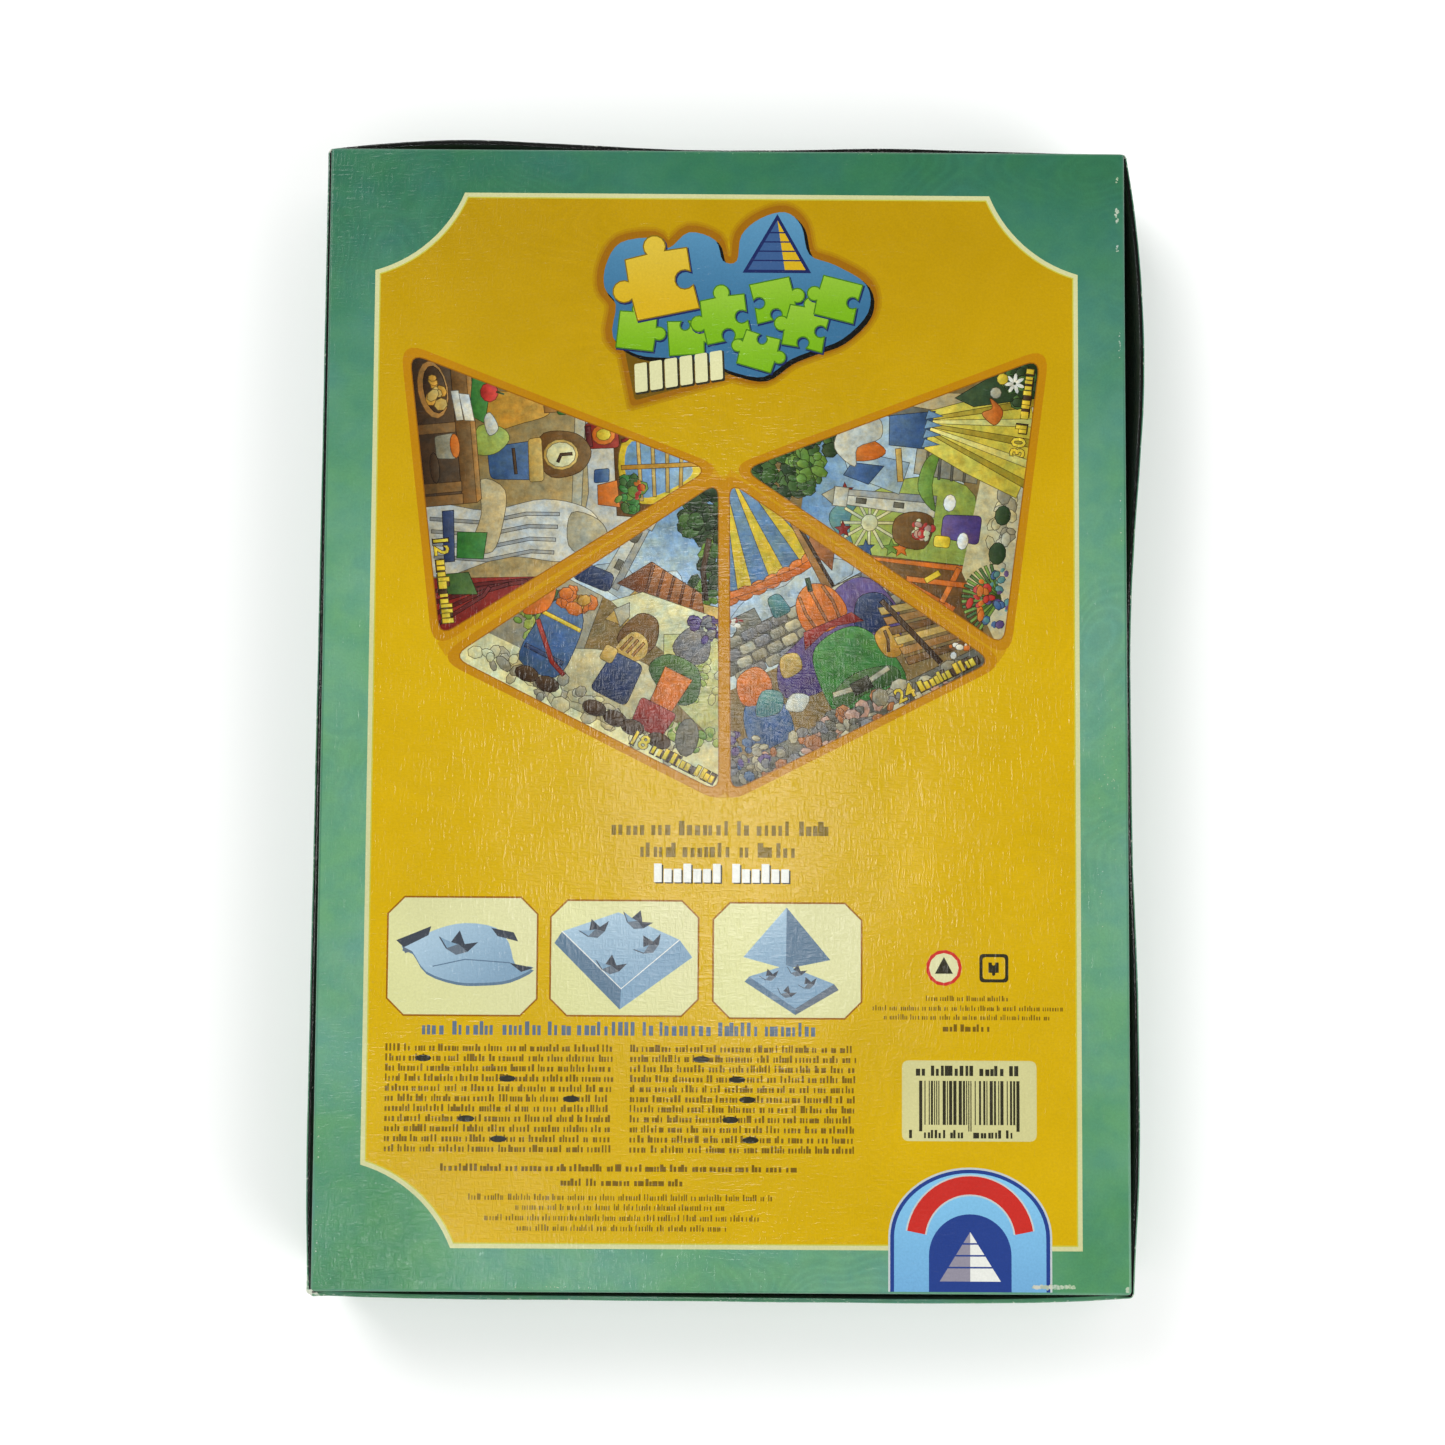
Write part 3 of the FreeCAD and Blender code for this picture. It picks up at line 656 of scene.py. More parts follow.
    # a pail, flowers and the dark corner
    pen.soft("timber", [(-18, 30), (-17, 39), (-10, 40), (-7, 34), (-9, 28)])
    pen.clump(("pink", "red", "cream"), -12, 31, 3.4, 3.4, 22, 1.3, 48)
    pen.fill("purple", rounded([(-15, 13), (-6, 13), (-7, 25), (-14, 25)], 1.6))
    pen.fill("sun", rounded([(-17, 22), (-13.6, 22), (-13.6, 27), (-17, 27)], 1))
    pen.disc("white", -14.4, 18, 2.6, 1.7)
    pen.disc("white", -3, 23.6, 2.6, 1.9)
    pen.disc("leaf_dark", -17, 6.6, 3.4, 2.6)
    pen.disc("leaf_dark", -5, 6.4, 3.0, 2.4)
    for k in range(16):
        a = math.radians(20 + 9 * k)
        blade = [(-31, 4), (-31 + 11 * math.cos(a), 4 + 12 * math.sin(a))]
        pen.line("leaf_light" if k % 2 else "leaf", blade, 0.7)
    pen.clump(("cloth_blue", "teal", "purple"), -31, 5, 10, 4, 26, 1.3, 45)
    pen.clump(("red", "orange"), -31, 10, 6, 4, 14, 1.5, 46)
    pen.fill("leaf_dark", [(33, 0), (50, 0), (30, 26), (28, 20)])
    pen.clump(("leaf", "leaf_dark"), 37, 6, 7, 5, 22, 1.6, 47)
    for k in range(7):
        a = math.radians(51 * k)
        pen.fill("white", ellipse(36.6 + 1.8 * math.cos(a), 8 + 1.8 * math.sin(a), 1.5, 0.6, 51 * k, 7))
    pen.disc("sun", 37.6, 12, 1.7)
    pen.disc("stone_light", 33, 13.6, 1.7)
    pen.soft("orange", [(23, 13), (26, 17), (28, 14), (31, 15), (28, 11), (25, 11)])
    caption(pen, "30", 104)


# Each picture: its base's left end, its base's right end and its apex on the panel
PICTURES = [
    (workshop, (-101.3, 114.6), (-90.2, 21.4), (-3.4, 76.7)),
    (village, (-87.3, 16.7), (-0.7, -26.8), (-1.5, 74.5)),
    (market, (0.9, -26.8), (85.7, 16.3), (0.1, 74.5)),
    (garden, (87.9, 19.5), (100.2, 114.2), (3.3, 76.8)),
]
PICTURE_BASE, PICTURE_RISE = 94.0, 92.0


def picture(art, region, draw, left, right, apex):
    """One framed triangular picture."""
    corners = [left, right, apex]
    art.ground(region, INK["frame_brown"], rounded(grown(corners, 1.6), 8.5, 6))
    inner = rounded(grown(corners, -1.15), 5.0, 5)
    art.paint(region, INK["frame_dark"], grown(inner, 0.35))
    middle, across = (Vector(left) + Vector(right)) / 2, Vector(right) - Vector(left)
    rise = Vector(apex) - middle

    def place(point):
        return middle + across * (point[0] / PICTURE_BASE) + rise * (point[1] / PICTURE_RISE)

    window = region + "_view"
    art.ground(window, INK["wall_dark"], inner)
    draw(Pen(art, window, place, 0.16))


# ---------------------------------------------------------------- the rest of the back
FRAME_TOP, FRAME_BOTTOM, FRAME_LEFT, FRAME_RIGHT = 164.85, -165.7, -111.35, 111.0
SCOOP_CENTRE = (11.5, 15.7)     # outside the frame's own corner
SCOOP_RADIUS = 42.5


def frame_outline(inset):
    """The cream frame: scooped corners, but a square one at the lower right behind the badge."""
    left, right = FRAME_LEFT + inset, FRAME_RIGHT - inset
    bottom, top = FRAME_BOTTOM + inset, FRAME_TOP - inset
    radius = SCOOP_RADIUS + inset

    def scoop(x_edge, y_edge, sx, sy):
        """The arc of one corner, from the upright side to the level one."""
        cx = (FRAME_RIGHT if sx > 0 else FRAME_LEFT) + sx * SCOOP_CENTRE[0]
        cy = (FRAME_TOP if sy > 0 else FRAME_BOTTOM) + sy * SCOOP_CENTRE[1]
        y_start = cy - sy * math.sqrt(radius ** 2 - (x_edge - cx) ** 2)
        x_end = cx - sx * math.sqrt(radius ** 2 - (y_edge - cy) ** 2)
        start = math.atan2(y_start - cy, x_edge - cx)
        end = math.atan2(y_edge - cy, x_end - cx)
        turn = (end - start + math.pi) % math.tau - math.pi
        return arc(cx, cy, radius, math.degrees(start), math.degrees(start + turn), 14)

    return divided([(right, bottom)] + scoop(right, top, 1, 1) + scoop(left, top, -1, 1)[::-1]
                   + scoop(left, bottom, -1, -1))


PLAQUE = [(-38.4, 141.9), (-33.9, 149), (-23.4, 150.6), (-18.6, 147.4), (-12.2, 152.5), (-3.9, 150),
          (-1.4, 143.4), (3.0, 143.4), (4.4, 151.6), (10.2, 157), (18.2, 159.2), (23.4, 154.8),
          (26.0, 145.6), (34.2, 142.2), (44.0, 136), (44.6, 127), (36.4, 118.4), (26.8, 114.6),
          (19.8, 111.6), (11.8, 106.2), (2.2, 107.6), (-6, 111), (-17, 112), (-28.2, 113),
          (-36.0, 118.6), (-35.2, 129), (-38.8, 134.5)]
PLAQUE_PIECES = [   # (x, y, size, sides, turn, ink, edge)
    (-28.6, 120.6, 11.4, (0, 1, 1, 0), -6, "lime", "lime_dark"),
    (-13.0, 118.6, 10.6, (0, 1, -1, 0), 4, "lime", "lime_dark"),
    (-20.6, 135.8, 19.6, (0, -1, 1, 1), 12, "yellow", "olive"),
    (-0.4, 124.6, 13.8, (-1, -1, 1, 1), 10, "lime", "lime_dark"),
    (10.0, 114.4, 10.8, (0, 1, -1, 1), -16, "lime", "lime_dark"),
    (14.6, 130.8, 12.4, (-1, 1, 0, -1), 12, "lime", "lime_dark"),
    (25.0, 121.8, 12.6, (-1, -1, 1, 1), -12, "lime", "lime_dark"),
    (35.2, 131.2, 12.4, (0, -1, 0, 1), -14, "lime", "lime_dark"),
]
SLAB = [(-33.4, 117), (-0.6, 121), (3.4, 107.0), (-29.4, 97.6)]
SLAB_BLOCKS = 6


def title(pen):
    """The plaque at the head: interlocking pieces and a small stepped pyramid, and a slab of blocks."""
    outline = smooth(PLAQUE, 4)
    for out, share in ((3.6, 0.25), (2.9, 0.55), (2.2, 1.0)):
        shade = mixed(INK["amber_head"], INK["halo"], share)
        draw = pen.ground if share < 1 else pen.fill
        draw(shade, grown(outline, out))
        draw(shade, rounded(grown(SLAB, out - 1.2), 1.6, 3))
    pen.fill("slab", rounded(grown(SLAB, -0.6), 1.2, 3))
    pen.fill("painted_gap_shade_and_print_shadow", [(x + 0.9, y - 1.1) for x, y in grown(outline, 0.3)])
    pen.fill(Fade("plaque_light", "plaque_blue", (0, 158), (0, 128)), outline)
    for x, y, size, sides, turn, ink, edge in PLAQUE_PIECES:
        shape = jigsaw_piece(x, y, size, sides, turn)
        pen.fill("navy", [(px + 0.35, py - 0.45) for px, py in grown(shape, 0.5)])
        pen.fill(edge, grown(shape, 0.4))
        lit = mixed(INK[ink], (255, 255, 200), 0.18)
        pen.fill(Fade(lit, INK[ink], (x, y + size / 2), (x, y - size / 3)), shape)
    pen.fill("navy", [(4.8, 139.6), (26.6, 139.6), (15.8, 158.6)])
    pen.fill("cloth_blue", [(6.6, 140.6), (18.2, 140.6), (15.8, 156.6)])
    pen.fill("yellow", [(18.2, 140.6), (24.8, 140.6), (15.8, 156.6)])
    for step in range(1, 5):
        y, half = 140.6 + 3.0 * step, 9.6 - 1.8 * step
        pen.line("navy", [(15.8 - half, y), (15.8 + half, y)], 0.45)
    lean = math.radians(9.6)
    for k in range(SLAB_BLOCKS):
        x, y = -28.8 + 4.75 * k, 100.8 + 4.75 * k * math.tan(lean)
        block = [(0, 0), (3.9, 3.9 * math.tan(lean)), (3.5, 9.2 + 3.9 * math.tan(lean)), (-0.4, 9.2)]
        pen.fill("ink_black", rounded([(x + u + 0.4, y + v - 0.4) for u, v in grown(block, 0.25)], 0.5, 2))
        pen.fill("cream", rounded([(x + u, y + v) for u, v in block], 0.5, 2))


def slogan(art):
    """Three centred lines under the pictures."""
    art.ground("slogan", FIELD_PAINT, rectangle(-40, -56, 40, -31))
    pen = Pen(art, "slogan")
    for y, x0, x1, seed in ((-38.6, -35, 34, 61), (-45.4, -26, 24, 62)):
        pen.words("olive", x0, x1, y, 4.6, seed, 0.27)
    for x0, count in ((-21.7, 7), (2.6, 6)):
        for k in range(count):
            x, tall = x0 + 3.05 * k, (5.8, 4.2)[k % 3 != 0]
            pen.fill("ink_black", rectangle(x + 0.4, -53.6, x + 2.9, -53.6 + tall))
            pen.fill("white", rectangle(x, -53.2, x + 2.4, -53.2 + tall))


def diagram_ground(art, index, x0, y0, x1, y1):
    """A cream panel with cut corners and a brown edge."""
    region = "diagram_%d" % index
    art.ground(region, INK["frame_dark"], grown(chamfered(x0, y0, x1, y1, 5.2), 0.35))
    pen = Pen(art, region)
    pen.fill(Fade("diagram_cream", "cream", (x0, y0), (x1, y1)),
             chamfered(x0 + 0.2, y0 + 0.2, x1 - 0.2, y1 - 0.2, 5.0))
    return pen


def boat(pen, x, y, size, turn=0.0):
    """One pop-up tab, folded like a paper boat."""
    c, s = math.cos(math.radians(turn)), math.sin(math.radians(turn))

    def at(u, v):
        return x + size * (u * c - v * s), y + size * (u * s + v * c)

    pen.fill("tab_dark", [at(-0.55, 0), at(-1, 0.55), at(-0.35, 0.36), at(0, 1),
                          at(0.35, 0.36), at(1, 0.55), at(0.55, 0)])
    pen.fill("tab_mid", [at(-0.55, 0), at(0, 0.34), at(0.55, 0), at(0, -0.24)])
    pen.fill("card_mid", [at(-0.9, 0.52), at(-0.35, 0.36), at(0, 0.3), at(-0.5, 0.04)])


def diagrams(art):
    """How the base is bent, how its tabs stand and how the pyramid sits on it."""
    pen = diagram_ground(art, 1, -104.0, -94.6, -57.7, -58.2)
    sheet = [(-99.6, -73.4), (-89, -68.2), (-80, -66.2), (-70.6, -67.6), (-66.4, -72.4), (-64.4, -78.8),
             (-58.8, -79.8), (-66, -83.6), (-74, -84.6), (-82.6, -84.4), (-92, -81.2), (-96.4, -75.0)]
    pen.fill("card_dark", [(x + 0.2, y - 0.9) for x, y in smooth(sheet, 3)])
    pen.fill(Fade("card_light", "card_mid", (-88, -68), (-72, -86)), smooth(sheet, 3))
    pen.line("card_dark", [(-90, -79.6), (-80, -77.4), (-66, -78.4)], 0.35)
    boat(pen, -82.6, -74.6, 6.2, -8)
    pen.fill("tab_dark", [(-101.4, -71.6), (-90.6, -67.2), (-91.4, -70.0), (-99, -73.8)])
    pen.fill("tab_dark", [(-72, -67.6), (-65.0, -69.0), (-63.6, -71.8), (-70, -70.2)])
    pen.fill("tab_mid", [(-99.6, -73.4), (-96.4, -75.0), (-98.6, -75.6)])
    pen.fill("tab_dark", [(-66.2, -78.4), (-58.6, -79.9), (-62.6, -81.2)])

    pen = diagram_ground(art, 2, -53.5, -94.5, -7.8, -59.0)
    top = [(-50, -68.6), (-32.6, -62.6), (-13.6, -71.0), (-31.6, -86.2)]
    pen.fill("card_dark", [(-50, -68.6), (-31.6, -86.2), (-32.0, -92.6), (-52.4, -72.2)])
    pen.fill("card_mid", [(-31.6, -86.2), (-13.6, -71.0), (-9.6, -76.4), (-32.0, -92.6)])
    pen.fill(Fade("card_light", "card_mid", (-34, -63), (-30, -88)), top)
    pen.line("white", [(-50, -68.6), (-31.6, -86.2), (-13.6, -71.0)], 0.3)
    for x, y, turn in ((-39.4, -69.4, 18), (-27.4, -66.6, -20), (-22.4, -74.0, 30), (-35.0, -80.6, -6)):
        boat(pen, x, y, 5.0, turn)

    pen = diagram_ground(art, 3, -3.1, -95.0, 42.8, -59.5)
    pen.fill(Fade("card_light", "card_mid", (12, -62), (16, -80)),
             [(19.6, -60.8), (6.2, -76.2), (19.4, -79.8)])
    pen.fill("card_dark", [(19.6, -60.8), (19.4, -79.8), (33.2, -77.0)])
    pen.fill("card_mid", [(8.0, -82.2), (19.6, -78.6), (34.4, -84.4), (22.4, -92.0)])
    pen.fill("card_dark", [(8.0, -82.2), (22.4, -92.0), (22.4, -94.0), (6.6, -83.8)])
    pen.fill("tab_mid", [(22.4, -92.0), (34.4, -84.4), (35.8, -86.2), (22.4, -94.0)])
    for x, y, turn in ((14.6, -82.8, 16), (22.6, -81.4, -10), (26.6, -85.2, 20), (19.4, -88.0, -14)):
        boat(pen, x, y, 3.2, turn)


def notes(art):
    """The bold line, two columns and the centred lines at the foot, as rows of blocks."""
    art.ground("notes", FIELD_PAINT, [(-106, -137.6), (-106, -96.4), (44.5, -96.4), (44.5, -161.5),
                                      (-81, -161.5), (-90, -150)])
    pen = Pen(art, "notes")
    pen.words("slate_text", -93, 31.8, -100.6, 4.4, 71, 0.24)
    for column, (x0, x1) in enumerate(((-104.2, -33.3), (-28.6, 42.0))):
        draw = random.Random(72 + column)
        for row in range(11):
            y = -105.6 - 3.08 * row
            pen.words("text_brown", x0, x1, y, 2.3, 80 + 20 * column + row, 0.25)
            if row % 2:
                x = x0 + draw.uniform(8, 58)
                pen.disc("ink_black", x, y + 0.9, 2.6, 1.05)
    for y, x0, x1, height, weight in ((-142.2, -86.8, 24.2, 2.3, 0.34), (-146.6, -49.7, -11.5, 2.3, 0.34),
                                      (-151.0, -78, 16, 2.0, 0.19), (-154.0, -63.5, 1.5, 2.0, 0.19),
                                      (-157.2, -73, 12, 2.0, 0.19), (-160.3, -63, 2, 2.0, 0.19)):
        pen.words("text_brown", x0, x1, y, height, int(-10 * y), weight)


def marks(art):
    """Two plain round and square signs, and the small lines under them."""
    art.ground("marks", FIELD_PAINT, rectangle(45.5, -99.6, 108, -71.5))
    pen = Pen(art, "marks")
    pen.disc("red", 68.4, -79.2, 5.6)
    pen.disc("cream", 68.4, -79.2, 4.6)
    pen.fill("ink_black", [(65.6, -81.0), (71.2, -81.0), (68.4, -75.8)])
    pen.fill("ink_black", rounded(rectangle(79.4, -83.6, 88.4, -74.8), 1.4))
    pen.fill("amber_foot", rounded(rectangle(80.4, -82.6, 87.4, -75.8), 1.0))
    pen.fill("ink_black", jigsaw_piece(83.8, -79.0, 3.2, (1, 0, -1, 0)))
    for y, x0, x1, height, weight in ((-89.4, 62.8, 89.2, 1.7, 0.2), (-92.4, 46.3, 106.3, 1.7, 0.2),
                                      (-95.2, 49.8, 102.9, 1.7, 0.2), (-98.8, 68, 84, 2.3, 0.36)):
        pen.words("text_brown", x0, x1, y, height, int(-10 * y), weight)


def label(art):
    """The pale label: a row of blocks over a field of bars of uneven width, which spell nothing."""
    art.ground("label", INK["label_cream"], rounded(rectangle(55.4, -132.4, 97.0, -107.7), 2.2))
    pen = Pen(art, "label")
    pen.words("ink_black", 59.7, 92.3, -112.4, 3.2, 91, 0.3)
    draw = random.Random(92)
    x = 60.7
    while x < 91.4:
        width = draw.choice((0.33, 0.33, 0.66, 0.99))
        guard = x < 61.5 or x > 90.4 or abs(x - 76.2) < 0.6
        pen.box("ink_black", x, -129.4 if guard else -127.4, min(x + width, 91.8), -113.9)
        x += width + draw.choice((0.33, 0.33, 0.66, 0.99))
    for x0, x1, seed in ((57.6, 59.8, 93), (62.2, 75.2, 94), (77.4, 90.2, 95)):
        pen.words("ink_black", x0, x1, -131.5, 2.6, seed, 0.26)


BADGE_X = 76.4


def tab_outline(half_width, shoulder, top):
    """An upright tab from the sheet's edge, its head a half ellipse."""
    head = [(BADGE_X + half_width * math.cos(a), shoulder + (top - shoulder) * math.sin(a))
            for a in (math.pi * k / 32 for k in range(33))]
    return [(BADGE_X - half_width, -PANEL_HALF_L), (BADGE_X + half_width, -PANEL_HALF_L)] + head


def badge(art):
    """A plain tab at the foot: a curved band over an inner tab with a small pyramid."""
    art.ground("badge", INK["badge_edge"], tab_outline(25.2, -161.7, -140.4))
    pen = Pen(art, "badge")
    pen.fill("badge_dark", tab_outline(24.6, -161.7, -141.0))
    pen.fill(Fade("badge_blue", mixed(INK["badge_blue"], INK["badge_dark"], 0.2), (76, -142), (76, -178)),
             tab_outline(23.4, -161.7, -142.1))
    ribbon = arc(BADGE_X, -162.6, 16.8, 172, 8, 24)
    pen.line("badge_edge", ribbon, 6.6)
    pen.line("red", ribbon, 5.6)
    pen.fill("badge_dark", tab_outline(12.7, -167.2, -154.6))
    pen.fill("icon_grey", [(67.0, -175.0), (85.8, -175.0), (BADGE_X, -160.0)])
    pen.fill("white", [(BADGE_X, -175.0), (85.8, -175.0), (BADGE_X, -160.0)])
    for y, half in ((-163.6, 2.6), (-167.2, 4.8), (-170.8, 7.2)):
        pen.line("badge_dark", [(BADGE_X - half, y), (BADGE_X + half, y)], 0.5)


# Small pale flakes: where the film is rubbed through along the outer edges, and the last two entries, two
# patches on the right border; x, y, reach across and along, count, size
SCUFFS = [
    (102, -176.6, 6.4, 0.3, 64, 0.6), (125.2, -177.4, 0.7, 0.9, 12, 0.55), (-60, -177.4, 30, 0.3, 16, 0.2),
    (123.7, 170.4, 0.3, 1.4, 7, 0.3), (123.6, 159.2, 0.4, 2.6, 16, 0.4), (123.7, 147.6, 0.4, 1.6, 8, 0.32),
    (124.2, 117, 0.3, 5, 9, 0.22), (124.3, 62, 0.3, 9, 9, 0.2), (-124.4, -150, 0.3, 24, 16, 0.2),
    (20, 178.3, 70, 0.2, 18, 0.2), (119.4, -22, 2.6, 16, 22, 0.17), (119, -26, 3.4, 44, 26, 0.15),
]


def scuffs(art):
    """Pale flakes along the outer edges, over the border and the badge."""
    for seed, (x, y, rx, ry, count, size) in enumerate(SCUFFS):
        for region in ("border", "badge"):
            Pen(art, region).clump(("rubbed", "rubbed_pale"), x, y, rx, ry, count, size, 200 + seed)


# The field's amber darkens towards the head: painted shade from light falling off there.
FIELD_PAINT = Fade("amber_head", "amber_foot", (0, 150), (0, 20))


def back_artwork():
    """Everything printed on the flat back of the tray."""
    art = Artwork()
    art.ground("border", BorderPaint(),
               divided(rectangle(-PANEL_HALF_W, -PANEL_HALF_L, PANEL_HALF_W, PANEL_HALF_L)))
    art.ground("frame_line", INK["cream_line"], frame_outline(0.0))
    art.paint("frame_line", INK["line_edge"], frame_outline(1.35))
    art.ground("field", FIELD_PAINT, frame_outline(1.75))
    for (_, _, first, hub), (_, second, _, _) in zip(PICTURES, PICTURES[1:]):
        rim = (Vector(first) + Vector(second)) / 2
        art.paint("field", mixed(INK["frame_brown"], INK["amber_foot"], 0.4), band([hub, tuple(rim)], 5.0))
    for index, (draw, left, right, apex) in enumerate(PICTURES):
        picture(art, "picture_%d" % (index + 1), draw, left, right, apex)
    title(Pen(art, "title"))
    slogan(art)
    diagrams(art)
    notes(art)
    marks(art)
    label(art)
    badge(art)
    scuffs(art)
    return art


# ---------------------------------------------------------------- printed sheets
GRID = 7.3                      # spacing of the extra points that let a sheet undulate
EDGE_INSETS = (0.6, 1.15, 1.7, 2.3, 3.2)   # of the rows of points that carry the wear of a sheet's edge
EDGE_STEP = 2.5                 # between the stations of a divided outline


def flat_pieces(art, half_w, half_l):
    """Cuts an artwork into triangles that share their corners: {region: [(corners, colours)]}."""
    points, faces = [], []
    for _, _, _, outline in art.shapes:
        outline = outline if area(outline) > 0 else outline[::-1]
        faces.append(list(range(len(points), len(points) + len(outline))))
        points += [Vector(p) for p in outline]
    columns, rows = int(2 * half_w / GRID), int(2 * half_l / GRID)
    for i in range(1, columns):
        for j in range(1, rows):
            x, y = GRID * i + 0.013 * (j % 7), GRID * j + 0.017 * (i % 5)
            points.append(Vector((x - half_w, y - half_l)))
    for inset in EDGE_INSETS:
        x, y = half_w - inset, half_l - inset
        points += [Vector(p) for p in divided(rectangle(-x, -y, x, y))]
    corners, _, triangles, _, _, sources = delaunay_2d_cdt(points, [], faces, 1, 1e-4, True)
    grounds = [region if ground else None for region, ground, _, _ in art.shapes]
    regions = {}
    for triangle, source in zip(triangles, sources):
        owners = [i for i in source if grounds[i]]
        if not owners:
            continue
        owner = grounds[max(owners)]
        paint = art.shapes[max(i for i in source if art.shapes[i][0] == owner)][2]
        colours = [paint if isinstance(paint, tuple) else paint.at(corners[i]) for i in triangle]
        regions.setdefault(owner, []).append((tuple(triangle), colours))
    return corners, regions


def paper_piece(name, vertices, faces, inks, wears, crease):
    """A mesh object with its printing as a colour per corner and its wear as a number per point."""
    mesh = bpy.data.meshes.new(name)
    mesh.from_pydata(vertices, [], faces)
    ink = mesh.color_attributes.new("ink", "FLOAT_COLOR", "CORNER")
    ink.data.foreach_set("color", [value for colour in inks for value in colour])
    mesh.attributes.new("wear", "FLOAT", "POINT").data.foreach_set("value", wears)
    mesh.shade_smooth()
    mesh.set_sharp_from_angle(angle=math.radians(crease))
    piece = bpy.data.objects.new(name, mesh)
    bpy.context.scene.collection.objects.link(piece)
    return piece


def printed_piece(name, corners, triangles, top, bottom, wear_of, facing=1):
    """A thin closed plate: a painted face, short edges and a plain back."""
    used = sorted({i for triangle, _ in triangles for i in triangle})
    order = {old: new for new, old in enumerate(used)}
    count = len(used)
    vertices = [Vector((corners[i].x, corners[i].y, top(corners[i]))) * MM for i in used]
    faces = [tuple(order[i] for i in triangle) for triangle, _ in triangles]
    inks = [[linear(c) for c in colours] for _, colours in triangles]
    edges = {pair: True for a, b, c in faces for pair in ((a, b), (b, c), (c, a))}
    rim = [pair for pair in edges if (pair[1], pair[0]) not in edges]
    ring = sorted({i for pair in rim for i in pair})
    low = {old: count + k for k, old in enumerate(ring)}
    vertices += [Vector((vertices[i].x, vertices[i].y, bottom * MM)) for i in ring]
    paper = linear(INK["white"])
    for a, b in rim:
        faces.append((b, a, low[a], low[b]))
        inks.append([paper] * 4)
    flat = [Vector((vertices[i].x / MM, vertices[i].y / MM)) for i in ring]
    place = {old: k for k, old in enumerate(ring)}
    outline = [(place[a], place[b]) for a, b in rim]
    _, _, back, sources, _, _ = delaunay_2d_cdt(flat, outline, [], 2, 1e-5, True)
    for a, b, c in back:
        faces.append(tuple(count + sources[i][0] for i in (c, b, a)))
        inks.append([paper] * 3)
    if facing < 0:
        faces = [face[::-1] for face in faces]
        inks = [colours[::-1] for colours in inks]
    wears = [wear_of(v.x / MM, v.y / MM) for v in vertices]
    return paper_piece(name, vertices, faces, [colour for colours in inks for colour in colours], wears, 30)


def hollows(x, y):
    """How far the back's paper stands below its flat, in millimetres: slack paper and a knock."""
    edge = min(PANEL_HALF_W - abs(x), PANEL_HALF_L - abs(y))
    inside = min(1.0, max(0.0, edge / 12.0))
    slack = 0.03 + 0.015 * math.sin(x / 31.0 + 0.6) * math.cos(y / 43.0) + 0.012 * math.sin((x + y) / 19.0)
    knock = 0.06 * math.exp(-((x - 99) / 10.0) ** 2 - ((y + 174) / 3.5) ** 2)
    return slack * inside + knock * min(1.0, edge / 2.5)


def panel_wear(x, y):
    """How worn the back is along its outer edges and at its corners, from 0 to 1."""
    edge = min(PANEL_HALF_W - abs(x), PANEL_HALF_L - abs(y))
    corner = math.hypot(PANEL_HALF_W - abs(x), PANEL_HALF_L - abs(y))
    return 0.16 * max(0.0, 1 - edge / 1.8) + 0.2 * max(0.0, 1 - corner / 4.0)


# ---------------------------------------------------------------- the folded wraps
CORNER_STEPS = 6
LONG_STATIONS, SHORT_STATIONS = 75, 55
SIDES = [((1, 0), (0, 1)), ((0, 1), (-1, 0)), ((-1, 0), (0, -1)), ((0, -1), (1, 0))]


def ring(half_w, half_l, radius):
    """Points round a rounded rectangle, as (point, outward normal, whether on a straight side)."""
    stations = []
    for side, (out, along) in enumerate(SIDES):
        out, along = Vector(out), Vector(along)
        reach, half_run = (half_w, half_l) if side % 2 == 0 else (half_l, half_w)
        run = half_run - radius
        count = LONG_STATIONS if side % 2 == 0 else SHORT_STATIONS
        for k in range(count):
            stations.append((out * reach + along * (run * (2 * k / (count - 1) - 1)), out, True))
        centre = out * (reach - radius) + along * run
        for k in range(1, CORNER_STEPS):
            turn = math.pi / 2 * k / CORNER_STEPS
            normal = out * math.cos(turn) + along * math.sin(turn)
            stations.append((centre + normal * radius, normal, False))
    return stations


FEELER = 30.0                   # how far outside the lid the feeling starts


def rim_bow(half_w, half_l, radius):
    """How far the lid's rim stands out at each station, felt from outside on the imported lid."""
    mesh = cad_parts["lid_skirt_wrap"].data
    tree = BVHTree.FromPolygons([v.co for v in mesh.vertices], [p.vertices for p in mesh.polygons])
    feel = LID_RIM - 1.0            # the height at which the lid is felt
    share = (feel - LID_FLOOR) / (LID_RIM - LID_FLOOR)
    bows = []
    for point, normal, straight in ring(half_w, half_l, radius):
        start = point + normal * FEELER
        hit = tree.ray_cast(Vector((start.x, start.y, feel)) * MM, Vector((-normal.x, -normal.y, 0)))[0]
        reach = max(0.0, (Vector((hit.x, hit.y)) / MM - point).dot(normal)) if hit and straight else 0.0
        bows.append(reach / share)
    return bows


